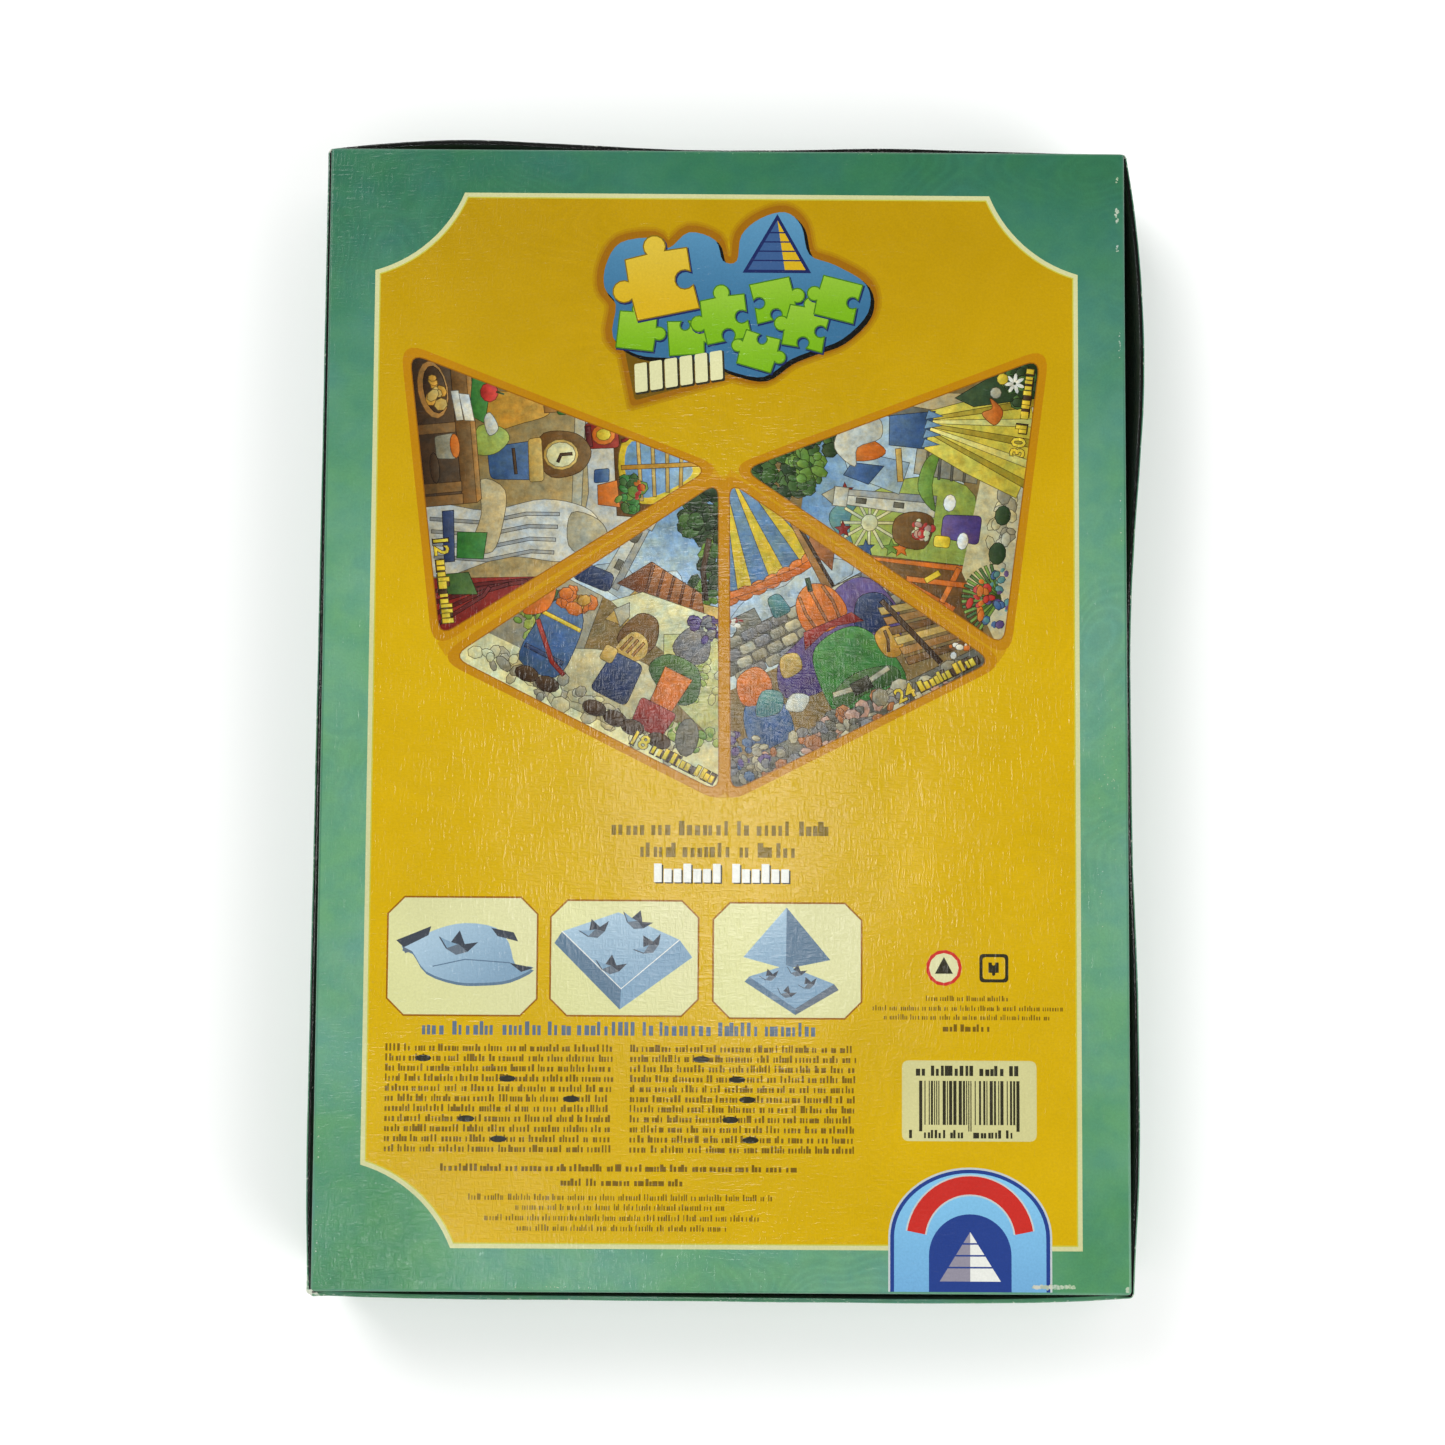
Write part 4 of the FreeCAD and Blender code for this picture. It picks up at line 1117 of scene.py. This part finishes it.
def folded_sheet(name, half_w, half_l, radius, profile, bows, capped, tint, ruffle=None):
    """A sheet folded round a box. Its profile, (inset, height, wear), goes out along one face and back."""
    loops, inks, wears, vertices = [], [], [], []
    for inset, z, worn in profile:
        loop = []
        share = min(1.0, max(0.0, (z - LID_FLOOR) / (LID_RIM - LID_FLOOR))) if bows else 0.0
        stations = ring(half_w - inset, half_l - inset, max(0.3, radius - inset))
        for k, (point, normal, straight) in enumerate(stations):
            out = bows[k] * share if bows else 0.0
            lift, frayed = 0.0, 0.0
            if ruffle:
                out_more, lift_more, frayed = ruffle(point, z)
                if inset < 0.15:
                    out, lift = out + out_more, lift_more
            place = point + normal * out
            loop.append(len(vertices))
            vertices.append(Vector((place.x, place.y, z + lift)) * MM)
            wears.append(worn + frayed + (0.0 if straight else 0.15))
            inks.append(linear(tint(place, z, inset)))
        loops.append(loop)
    faces = []
    pairs = list(zip(loops, loops[1:])) + ([] if capped else [(loops[-1], loops[0])])
    for first, last in pairs:
        for k in range(len(first)):
            j = (k + 1) % len(first)
            faces.append((first[k], last[k], last[j], first[j]))
    if capped:
        faces.append(tuple(loops[0]))
        faces.append(tuple(loops[-1][::-1]))
    return paper_piece(name, vertices, faces, [inks[i] for face in faces for i in face], wears, 38)


def quarter_turn(radius, steps):
    """Sine and cosine pairs along a quarter turn, times a radius."""
    angles = [math.pi / 2 * k / steps for k in range(steps + 1)]
    return [(radius * math.sin(a), radius * math.cos(a)) for a in angles]


def side_green(place, z, inset):
    """The wrap's green, which is a little darker towards the head of the box."""
    share = min(1.0, max(0.0, (place.y + PANEL_HALF_L) / (2 * PANEL_HALF_L)))
    return mixed(mixed(INK["green_foot"], INK["green_side"], 0.5), INK["green_head"], share)


def tray_wrap():
    """The tray's paper: under the printing, over the fold, down the sides and in round the rim."""
    top, rim = TRAY_HIGH.z, TRAY_LOW.z
    back = FOLD - PAPER
    inner = BOARD + 2 * PAPER
    lining = BOARD + PAPER
    profile = [(FOLD, top - PRINT, 0.2)]
    profile += [(FOLD - s, top - FOLD + c, 0.24) for s, c in quarter_turn(FOLD, 5)]
    profile += [(0.0, top - 2.0, 0.15), (0.0, top - 5.0, 0.08), (0.0, 30.0, 0.05), (0.0, 16.0, 0.05)]
    profile += [(0.0, rim + 1.0, 0.2), (0.0, rim + 0.4, 0.5), (0.12, rim + 0.1, 0.6), (0.4, rim, 0.6)]
    profile += [(BOARD, rim, 0.6), (BOARD + 0.3, rim + 0.12, 0.5), (inner, rim + 0.4, 0.3)]
    profile += [(inner, rim + 7, 0.05), (inner, rim + TURN_IN, 0.3), (lining, rim + TURN_IN, 0.4)]
    profile += [(lining, rim + PAPER, 0.0), (PAPER, rim + PAPER, 0.0)]
    profile += [(PAPER + back - s, top - FOLD + c, 0.0) for s, c in reversed(quarter_turn(back, 3))]
    return folded_sheet("tray_paper", TRAY_HIGH.x, TRAY_HIGH.y, TRAY_CORNER, profile, None, True,
                        side_green)


def lid_green_with_gap_shade(place, z, inset):
    """The lid's green, with painted shade where the paper goes in over the rim: near black on the rim and
    dark grey down the inside of the turn-in; the green reaches furthest in at the box's foot.
    """
    along = abs(place.x) < LID_HALF_W - 3.0
    edge = 0.35
    if along and abs(place.y) > LID_HALF_L - 3.0:
        edge = BOARD if place.y < 0 else 0.05
    # painted shade: dark grey inside the turn-in, and near black on the rim beyond the green's edge
    if inset > BOARD + 0.3:
        return INK["painted_lid_inside_shade"]
    return INK["painted_gap_shade_and_print_shadow"] if inset > edge + 0.01 else side_green(place, z, inset)


def lid_ruffle(point, z):
    """Waves near the lid's rim and a frayed corner at the foot's left: outwards, upwards and wear."""
    near = max(0.0, (z - 24.0) / (LID_RIM - 24.0))
    wave = 0.05 + 0.05 * math.sin(point.x / 7.0 + point.y / 11.0) * math.cos(point.y / 5.3)
    corner = math.exp(-((point.x + LID_HALF_W) / 5.0) ** 2 - ((point.y + LID_HALF_L) / 5.0) ** 2)
    ragged = math.sin(point.x * 2.7) * math.sin(point.y * 3.1)
    out = (wave + corner * (0.45 + 0.3 * ragged)) * near
    return out, (0.04 * ragged - corner * (0.3 + 0.25 * ragged)) * near ** 3, 0.2 * corner * near ** 2


def lid_wrap():
    """The lid's paper: over the fold at the cover, up the bowed skirt and in round its rim."""
    rim = LID_RIM
    back = FOLD - PAPER
    inner = BOARD + 2 * PAPER
    profile = [(FOLD - s, FOLD - c, 0.6) for s, c in quarter_turn(FOLD, 5)]
    profile += [(0.0, LID_FLOOR, 0.3), (0.0, 3.5, 0.12)]
    profile += [(0.0, 8.0 + 4.5 * k, 0.05) for k in range(7)]
    profile += [(0.0, rim - 1.6, 0.15), (0.0, rim - 0.5, 0.32), (0.12, rim - 0.14, 0.42), (0.35, rim, 0.42)]
    profile += [(0.5, rim, 0.4), (0.56, rim, 0.3), (BOARD, rim, 0.3)]
    profile += [(inner - 0.12, rim - 0.12, 0.35), (inner, rim - 0.4, 0.2)]
    profile += [(inner, rim - 7, 0.05), (inner, rim - TURN_IN, 0.3), (inner - PAPER, rim - TURN_IN, 0.4)]
    profile += [(inner - PAPER, rim - PAPER, 0.0), (PAPER, rim - PAPER, 0.0)]
    profile += [(PAPER, z, 0.0) for z in (30.0, 15.0, LID_FLOOR)]
    profile += [(PAPER + back - s, FOLD - c, 0.0) for s, c in reversed(quarter_turn(back, 3))]
    bows = rim_bow(LID_HALF_W, LID_HALF_L, LID_CORNER)
    return folded_sheet("lid_paper", LID_HALF_W, LID_HALF_L, LID_CORNER, profile, bows, False,
                        lid_green_with_gap_shade, lid_ruffle)


def cover_artwork():
    """The lid's front: a green border, a scooped amber field, the plaque and a large two-sided pyramid."""
    art = Artwork()
    half_w, half_l = COVER_HIGH.x, COVER_HIGH.y
    art.ground("cover_border", Fade("green_head", "green_foot", (0, half_l), (0, -half_l)),
               divided(rectangle(-half_w, -half_l, half_w, half_l)))
    art.ground("cover_line", INK["cream_line"], frame_outline(0.0))
    art.ground("cover_field", FIELD_PAINT, frame_outline(1.75))
    foot, peak = (12, -140), (2, 74)
    picture(art, "cover_left", village, (-99, -96), foot, peak)
    picture(art, "cover_right", market, foot, (99, -92), peak)
    title(Pen(art, "cover_title", lambda p: Vector((p[0] * 1.5, 113 + (p[1] - 128) * 1.5))))
    return art.mirrored()


# ---------------------------------------------------------------- materials
class Recipe:
    """A node material under construction. Its coordinates are the row frame's, in millimetres."""

    def __init__(self, name, **finish):
        self.material = bpy.data.materials.new(name)
        self.material.use_nodes = True
        self.tree = self.material.node_tree
        self.shader = self.tree.nodes["Principled BSDF"]
        for socket, value in finish.items():
            self.shader.inputs[socket.replace("_", " ")].default_value = value
        coordinates = self.tree.nodes.new("ShaderNodeTexCoord")
        self.normal = coordinates.outputs["Normal"]
        self.place = self.vector("SCALE", coordinates.outputs["Object"], scale=1 / MM)

    def put(self, value, socket):
        """Links or sets one input."""
        if isinstance(value, bpy.types.NodeSocket):
            self.tree.links.new(value, socket)
        else:
            socket.default_value = value

    def vector(self, operation, first, second=None, scale=None):
        node = self.tree.nodes.new("ShaderNodeVectorMath")
        node.operation = operation
        self.put(first, node.inputs[0])
        if second is not None:
            self.put(second, node.inputs[1])
        if scale is not None:
            node.inputs["Scale"].default_value = scale
        return node.outputs[0]

    def math(self, operation, first, second=0.0, third=None, clamp=False):
        node = self.tree.nodes.new("ShaderNodeMath")
        node.operation = operation
        node.use_clamp = clamp
        self.put(first, node.inputs[0])
        self.put(second, node.inputs[1])
        if third is not None:
            self.put(third, node.inputs[2])
        return node.outputs[0]

    def noise(self, scale, detail=2.0, roughness=0.5, place=None):
        """Noise from 0 to 1; the scale is per millimetre."""
        node = self.tree.nodes.new("ShaderNodeTexNoise")
        self.put(place or self.place, node.inputs["Vector"])
        node.inputs["Scale"].default_value = scale
        node.inputs["Detail"].default_value = detail
        node.inputs["Roughness"].default_value = roughness
        return node.outputs["Fac"]

    def cells(self, scale, output="Color", place=None):
        node = self.tree.nodes.new("ShaderNodeTexVoronoi")
        self.put(place or self.place, node.inputs["Vector"])
        node.inputs["Scale"].default_value = scale
        return node.outputs[output]

    def attribute(self, name, output="Color"):
        node = self.tree.nodes.new("ShaderNodeAttribute")
        node.attribute_name = name
        return node.outputs[output]

    def axis(self, vector, letter):
        node = self.tree.nodes.new("ShaderNodeSeparateXYZ")
        self.put(vector, node.inputs[0])
        return node.outputs[letter]

    def mix(self, share, first, second, blend="MIX"):
        """Two colours mixed; a colour may be an sRGB triple out of 255."""
        node = self.tree.nodes.new("ShaderNodeMix")
        node.data_type = "RGBA"
        node.blend_type = blend
        self.put(share, node.inputs["Factor"])
        for colour, socket in ((first, "A"), (second, "B")):
            target = [s for s in node.inputs if s.name == socket and s.type == "RGBA"][0]
            self.put(linear(colour) if isinstance(colour, tuple) and len(colour) == 3 else colour, target)
        return [s for s in node.outputs if s.type == "RGBA"][0]

    def ramp(self, value, stops):
        """A colour ramp of (place, sRGB colour)."""
        node = self.tree.nodes.new("ShaderNodeValToRGB")
        self.put(value, node.inputs["Fac"])
        elements = node.color_ramp.elements
        while len(elements) < len(stops):
            elements.new(0.5)
        for element, (place, colour) in zip(elements, stops):
            element.position = place
            element.color = linear(colour)
        return node.outputs["Color"]

    def brightened(self, colour, value, low, high):
        share = self.math("MULTIPLY_ADD", value, high - low, low)
        node = self.tree.nodes.new("ShaderNodeVectorMath")
        node.operation = "SCALE"
        self.put(colour, node.inputs[0])
        self.put(share, node.inputs["Scale"])
        return node.outputs[0]

    def bump(self, height, depth, normal=None):
        """Relief of a depth in millimetres where the height runs from 0 to 1."""
        node = self.tree.nodes.new("ShaderNodeBump")
        self.put(height, node.inputs["Height"])
        node.inputs["Distance"].default_value = depth * MM
        if normal is not None:
            self.put(normal, node.inputs["Normal"])
        return node.outputs["Normal"]

    def finish(self, colour, roughness, normal):
        self.put(colour, self.shader.inputs["Base Color"])
        self.put(roughness, self.shader.inputs["Roughness"])
        self.put(normal, self.shader.inputs["Normal"])
        return self.material


THREAD_LENGTH, THREAD_WIDTH = 4.0, 0.85     # of the pressed linen grain
LINEN_DEPTH = 0.1


def linen(recipe):
    """Height of a pressed linen grain: short uneven threads across and along the sheet."""
    along, across = 1 / THREAD_LENGTH, 1 / THREAD_WIDTH
    heights = [recipe.noise(1.0, 1.0, 0.5, recipe.vector("MULTIPLY", recipe.place, stretch))
               for stretch in ((along, across, across), (across, along, across))]
    return recipe.math("MAXIMUM", heights[0], heights[1])


DENSITY = 0.725                 # of the inks, under this studio light
GLOSS = 0.4                     # specular level of the film over the print
BARE_PAPER = (192, 196, 180)    # where the film and the ink are worn off


def laminate(name, ornament=0.0, ornament_scale=0.03, clouded=False, brushed=0.0):
    """Printed paper under a glossy film pressed with a linen grain, worn white along its edges."""
    recipe = Recipe(name, Specular_IOR_Level=GLOSS)
    colour = recipe.attribute("ink")
    wear = recipe.attribute("wear", "Fac")
    colour = recipe.brightened(colour, recipe.noise(0.03, 2.0), 0.90 * DENSITY, 1.10 * DENSITY)
    colour = recipe.brightened(colour, recipe.noise(1.4, 3.0, 0.7), 0.84, 1.16)
    if brushed:
        strokes = recipe.noise(0.3, 5.0, 0.7, recipe.vector("ADD", recipe.place, recipe.cells(0.2)))
        colour = recipe.brightened(colour, strokes, 1.0 - brushed, 1.0 + brushed)
        cast = recipe.ramp(recipe.noise(0.22, 4.0, 0.7), [(0.34, (255, 244, 214)), (0.66, (222, 238, 255))])
        colour = recipe.mix(1.0, colour, cast, "MULTIPLY")
    if clouded:
        for scale, green, teal in ((0.03, (236, 252, 230), (244, 250, 255)),
                                   (0.13, (252, 255, 248), (232, 244, 252))):
            cast = recipe.ramp(recipe.noise(scale, 2.0, 0.6), [(0.36, green), (0.64, teal)])
            colour = recipe.mix(1.0, colour, cast, "MULTIPLY")
    if ornament:
        swirl = recipe.noise(ornament_scale, 0.6, 0.4)
        lines = recipe.math("PINGPONG", recipe.math("MULTIPLY", swirl, 26.0), 0.5)
        crest = recipe.math("SMOOTH_MIN", recipe.math("MULTIPLY", lines, 3.0, clamp=True), 1.0, 0.3)
        patch = recipe.math("MULTIPLY_ADD", recipe.noise(0.017, 1.0), 5.0, -2.2, clamp=True)
        crest = recipe.math("MULTIPLY", crest, patch)
        colour = recipe.brightened(colour, crest, 1.0 + ornament, 1.0 - ornament)
    flecks = recipe.noise(0.75, 5.0, 0.65)
    beyond = recipe.math("ADD", recipe.math("ADD", wear, flecks), -1.0)
    worn = recipe.math("MULTIPLY", beyond, 7.0, clamp=True)
    colour = recipe.mix(worn, colour, BARE_PAPER)
    gloss = recipe.math("MULTIPLY_ADD", recipe.noise(0.12, 3.0), 0.1, 0.13)
    roughness = recipe.math("MULTIPLY_ADD", worn, 0.4, gloss)
    slack = recipe.bump(recipe.noise(0.022, 1.0), 0.55)
    normal = recipe.bump(linen(recipe), LINEN_DEPTH, slack)
    return recipe.finish(colour, roughness, normal)


def greyboard(name="greyboard"):
    """Recycled grey board: fibres, flecks and soft unevenness."""
    recipe = Recipe(name, Specular_IOR_Level=0.2)
    fibres = recipe.noise(0.9, 5.0, 0.7, recipe.vector("MULTIPLY", recipe.place, (1.0, 0.35, 1.6)))
    colour = recipe.ramp(fibres, [(0.25, (118, 110, 96)), (0.5, (146, 138, 122)), (0.75, (170, 162, 146))])
    specks = recipe.math("LESS_THAN", recipe.cells(0.8, "Distance"), 0.12)
    colour = recipe.mix(recipe.math("MULTIPLY", specks, 0.6), colour, (74, 66, 58))
    return recipe.finish(colour, recipe.math("MULTIPLY_ADD", fibres, 0.15, 0.8),
                         recipe.bump(fibres, 0.06))


def plain_paper(name, light, dark, roughness, creases=()):
    """Uncoated paper or card: fine fibre, faint clouds and any pressed creases, as (axis, place), with
    painted shade darkening each crease.
    """
    recipe = Recipe(name, Specular_IOR_Level=0.3)
    clouds = recipe.noise(0.05, 3.0)
    fibre = recipe.noise(1.6, 4.0, 0.7, recipe.vector("MULTIPLY", recipe.place, (1.0, 0.5, 1.0)))
    colour = recipe.mix(clouds, light, dark)
    colour = recipe.brightened(colour, fibre, 0.93, 1.06)
    height = fibre
    for letter, place in creases:
        offset = recipe.math("ABSOLUTE", recipe.math("SUBTRACT", recipe.axis(recipe.place, letter), place))
        crease = recipe.math("SUBTRACT", 1.0, recipe.math("MULTIPLY", offset, 1.4, clamp=True))
        # painted shade: the colour darkens along the crease
        colour = recipe.mix(recipe.math("MULTIPLY", crease, 0.35), colour, dark)
        height = recipe.math("SUBTRACT", height, crease)
    roughness = recipe.math("MULTIPLY_ADD", fibre, 0.1, roughness)
    return recipe.finish(colour, roughness, recipe.bump(height, 0.03))


def leaflet_paper():
    """The instruction sheet: rows of grey blocks between pale margins, and two folds."""
    recipe = Recipe("leaflet_paper", Specular_IOR_Level=0.4)
    x, y = recipe.axis(recipe.place, "X"), recipe.axis(recipe.place, "Y")
    rows = recipe.math("LESS_THAN", recipe.math("PINGPONG", y, 2.2), 1.0)
    word_place = recipe.vector("SNAP", recipe.place, (1.5, 4.4, 50.0))
    word_place = recipe.vector("MULTIPLY", word_place, (0.9, 0.61, 1.0))
    letters = recipe.math("GREATER_THAN", recipe.noise(1.0, 1.0, 0.5, word_place), 0.43)
    across = recipe.math("LESS_THAN", recipe.math("ABSOLUTE", recipe.math("PINGPONG", x, 36.0)), 33.0)
    within = recipe.math("LESS_THAN", recipe.math("ABSOLUTE", y), 92.0)
    block = recipe.math("MULTIPLY", recipe.math("MULTIPLY", rows, letters),
                        recipe.math("MULTIPLY", across, within))
    fibre = recipe.noise(1.2, 4.0)
    colour = recipe.mix(block, (232, 230, 220), (120, 124, 126))
    colour = recipe.brightened(colour, fibre, 0.95, 1.03)
    fold = recipe.math("MULTIPLY", recipe.math("PINGPONG", y, 35.0), 0.7, clamp=True)
    return recipe.finish(colour, recipe.math("MULTIPLY_ADD", fibre, 0.1, 0.5), recipe.bump(fold, 0.05))


def jigsaw_board(name, base_x, apex_x, stops):
    """A printed jigsaw sheet: a glossy scene on the upper faces, grey board on the cut sides."""
    recipe = Recipe(name, Specular_IOR_Level=0.45, Coat_Weight=0.25, Coat_Roughness=0.25)
    rise = recipe.math("SUBTRACT", recipe.axis(recipe.place, "X"), base_x)
    rise = recipe.math("DIVIDE", rise, apex_x - base_x)
    drift = recipe.noise(0.035, 3.0, 0.6)
    height = recipe.math("ADD", rise, recipe.math("MULTIPLY_ADD", drift, 0.5, -0.25))
    scene = recipe.ramp(height, stops)
    patches = recipe.cells(0.06, "Color", recipe.vector("ADD", recipe.place, recipe.cells(0.16, "Color")))
    scene = recipe.mix(0.22, scene, patches, "OVERLAY")
    strokes = recipe.noise(0.5, 4.0, 0.65)
    scene = recipe.brightened(scene, strokes, 0.72, 1.24)
    fibres = recipe.noise(1.4, 4.0, 0.7, recipe.vector("MULTIPLY", recipe.place, (0.6, 0.6, 2.4)))
    board = recipe.ramp(fibres, [(0.3, (126, 116, 100)), (0.7, (176, 166, 148))])
    up = recipe.math("GREATER_THAN", recipe.axis(recipe.normal, "Z"), 0.6)
    colour = recipe.mix(up, board, scene)
    roughness = recipe.math("MULTIPLY_ADD", up, -0.45, 0.82)
    height = recipe.math("ADD", recipe.math("MULTIPLY", linen(recipe), up), fibres)
    return recipe.finish(colour, roughness, recipe.bump(height, 0.02))


def floor_paint():
    recipe = Recipe("pale_floor", Specular_IOR_Level=0.1)
    colour = recipe.mix(recipe.noise(0.004, 2.0), (246, 246, 245), (243, 243, 243))
    return recipe.finish(colour, 0.9, recipe.bump(recipe.noise(0.4, 2.0), 0.01))


def give(piece, material):
    """Puts a material on every slot of a piece."""
    if not piece.data.materials:
        piece.data.materials.append(material)
    for slot in piece.material_slots:
        slot.material = material


# ---------------------------------------------------------------- making the pieces
def print_sheet(art, prefix, body, top, bottom, half_w, half_l, wear_of, facing, materials):
    """Cuts an artwork into pieces, one for each region, and lays them on their sheet: {region: piece}."""
    pieces = {}
    corners, regions = flat_pieces(art, half_w, half_l)
    for region, triangles in regions.items():
        piece = printed_piece(prefix + region, corners, triangles, top, bottom, wear_of, facing)
        give(piece, materials.get(region, materials["plain"]))
        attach(piece, body)
        pieces[region] = piece
    return pieces


plain_print = laminate("print_plain")
green_print = laminate("print_green", ornament=0.05, clouded=True)
amber_print = laminate("print_amber", ornament=0.022, ornament_scale=0.024)
picture_print = laminate("print_picture", brushed=0.9)

# the back of the tray
tray_paper = tray_wrap()
give(tray_paper, green_print)
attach(tray_paper, "tray")
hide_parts("tray_wrap")
back_finishes = {"picture_%d_view" % (k + 1): picture_print for k in range(len(PICTURES))}
back_finishes |= {"plain": plain_print, "border": green_print, "field": amber_print}
print_sheet(back_artwork(), "print_", "tray", lambda p: TRAY_HIGH.z - hollows(p.x, p.y),
            TRAY_HIGH.z - PRINT, PANEL_HALF_W, PANEL_HALF_L, panel_wear, 1, back_finishes)

# the lid
lid_paper = lid_wrap()
give(lid_paper, green_print)
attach(lid_paper, "lid")
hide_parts("lid_skirt_wrap")
cover_finishes = {"plain": plain_print, "cover_border": green_print, "cover_field": amber_print,
                  "cover_left_view": picture_print, "cover_right_view": picture_print}
cover = print_sheet(cover_artwork(), "", "lid", lambda p: 0.0, COVER_HIGH.z, COVER_HIGH.x, COVER_HIGH.y,
                    lambda x, y: 0.0, -1, cover_finishes)
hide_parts("lid_cover_sheet")

# board and paper inside
board_finish = greyboard()
for name in ("lid_board", "tray_board"):
    give(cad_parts[name], board_finish)
stay_finish = plain_paper("stay_paper", (214, 206, 184), (190, 178, 150), 0.7)
for name in ("lid_corner_stays", "tray_corner_stays"):
    give(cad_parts[name], stay_finish)
give(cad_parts["leaflet"], leaflet_paper())

# the jigsaw sheets, in each picture's own colours from the base to the apex
SCENES = {
    12: ("timber_dark", "timber", "timber_light", "wall_light", "sky_high", "sun"),
    18: ("path", "stone_light", "lawn", "terracotta", "sky_low", "leaf"),
    24: ("stone_dark", "stone", "book_green", "grey", "pale_sky", "sun"),
    30: ("path", "leaf_light", "tent", "leaf_pale", "sky_high", "leaf_dark"),
}
for index, (total, inks) in enumerate(SCENES.items()):
    rows = sorted(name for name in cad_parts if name.startswith("jigsaw_%d_row_" % total))
    boxes = [box_mm(name) for name in rows]
    low, high = min(b[0].x for b in boxes), max(b[1].x for b in boxes)
    base_x, apex_x = (low, high) if index % 2 == 0 else (high, low)
    stops = [(0.04 + 0.18 * k, INK[ink]) for k, ink in enumerate(inks)]
    finish = jigsaw_board("jigsaw_%d" % total, base_x, apex_x, stops)
    for name in rows:
        give(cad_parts[name], finish)

# the folding pyramid and its base
shell_finish = plain_paper("shell_card", (178, 204, 220), (158, 188, 208), 0.55, (("X", 0.0),))
give(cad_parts["pyramid_shell"], shell_finish)
card_finish = plain_paper("base_card", (172, 200, 218), (150, 182, 204), 0.5)
tab_finish = plain_paper("base_tabs", (112, 124, 138), (90, 100, 114), 0.5)
for name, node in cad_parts.items():
    if name.startswith("base_"):
        give(node, tab_finish if name.startswith("base_tab") else card_finish)

# ---------------------------------------------------------------- stage, light and camera
FLOOR_HALF = 3.0
floor_mesh = bpy.data.meshes.new("floor")
floor_corners = rectangle(-FLOOR_HALF, -FLOOR_HALF, FLOOR_HALF, FLOOR_HALF)
floor_mesh.from_pydata([(x, y, -0.0003) for x, y in floor_corners], [], [(0, 1, 2, 3)])
floor = bpy.data.objects.new("floor", floor_mesh)
bpy.context.scene.collection.objects.link(floor)
give(floor, floor_paint())
floor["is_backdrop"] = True


def softbox(name, place, target, size, length, power, colour=(1.0, 1.0, 1.0)):
    """A rectangular light that faces a point."""
    light = bpy.data.lights.new(name, "AREA")
    light.shape = "RECTANGLE"
    light.size, light.size_y = size, length
    light.energy = power
    light.color = colour
    holder = bpy.data.objects.new(name, light)
    holder.location = place
    holder.rotation_euler = (Vector(target) - Vector(place)).to_track_quat("-Z", "Y").to_euler()
    bpy.context.scene.collection.objects.link(holder)
    return holder


softbox("key", (-0.9, 1.1, 1.5), (0, 0, 0), 1.0, 1.0, 20)
softbox("fill", (1.2, -0.9, 1.3), (0, 0, 0), 1.2, 1.2, 17)
softbox("front", (0.015, 0.03, 1.35), (0.015, 0.03, 0), 0.1, 0.32, 1.15, (1.0, 0.98, 0.94))
softbox("lamp", (-0.233, -0.344, 1.35), (-0.09, -0.17, 0.048), 0.05, 0.05, 0.35, (0.94, 0.98, 1.0))

# a studio with pale walls and a dim ceiling, told apart by how steeply a direction climbs
WALLS, CEILING = 0.95, 0.12
WALL_TOP, CEILING_EDGE = 0.78, 0.94
world = bpy.data.worlds.new("studio")
bpy.context.scene.world = world
world.use_nodes = True
world_nodes, world_links = world.node_tree.nodes, world.node_tree.links
direction = world_nodes.new("ShaderNodeTexCoord")
upward = world_nodes.new("ShaderNodeSeparateXYZ")
dimming = world_nodes.new("ShaderNodeMapRange")
dimming.interpolation_type = "SMOOTHSTEP"
for socket, value in (("From Min", WALL_TOP), ("From Max", CEILING_EDGE),
                      ("To Min", WALLS), ("To Max", CEILING)):
    dimming.inputs[socket].default_value = value
world_links.new(direction.outputs["Generated"], upward.inputs[0])
world_links.new(upward.outputs["Z"], dimming.inputs["Value"])
world_links.new(dimming.outputs[0], world_nodes["Background"].inputs["Strength"])
world_nodes["Background"].inputs["Color"].default_value = (1.0, 1.0, 1.0, 1.0)
bpy.context.scene.view_settings.view_transform = "Standard"

VIEW_ANGLE = 32                 # degrees across the image
camera_data = bpy.data.cameras.new("camera")
camera_data.sensor_width = 36.0
camera_data.lens = camera_data.sensor_width / 2 / math.tan(math.radians(VIEW_ANGLE) / 2)
camera_data.clip_start, camera_data.clip_end = 0.01, 20.0
camera = bpy.data.objects.new("camera", camera_data)
camera.location = (-0.0043, -0.0652, 0.8322)
camera.rotation_euler = (math.radians(4.51), math.radians(-0.291), math.radians(0.337))
bpy.context.scene.collection.objects.link(camera)
bpy.context.scene.camera = camera

low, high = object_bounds()
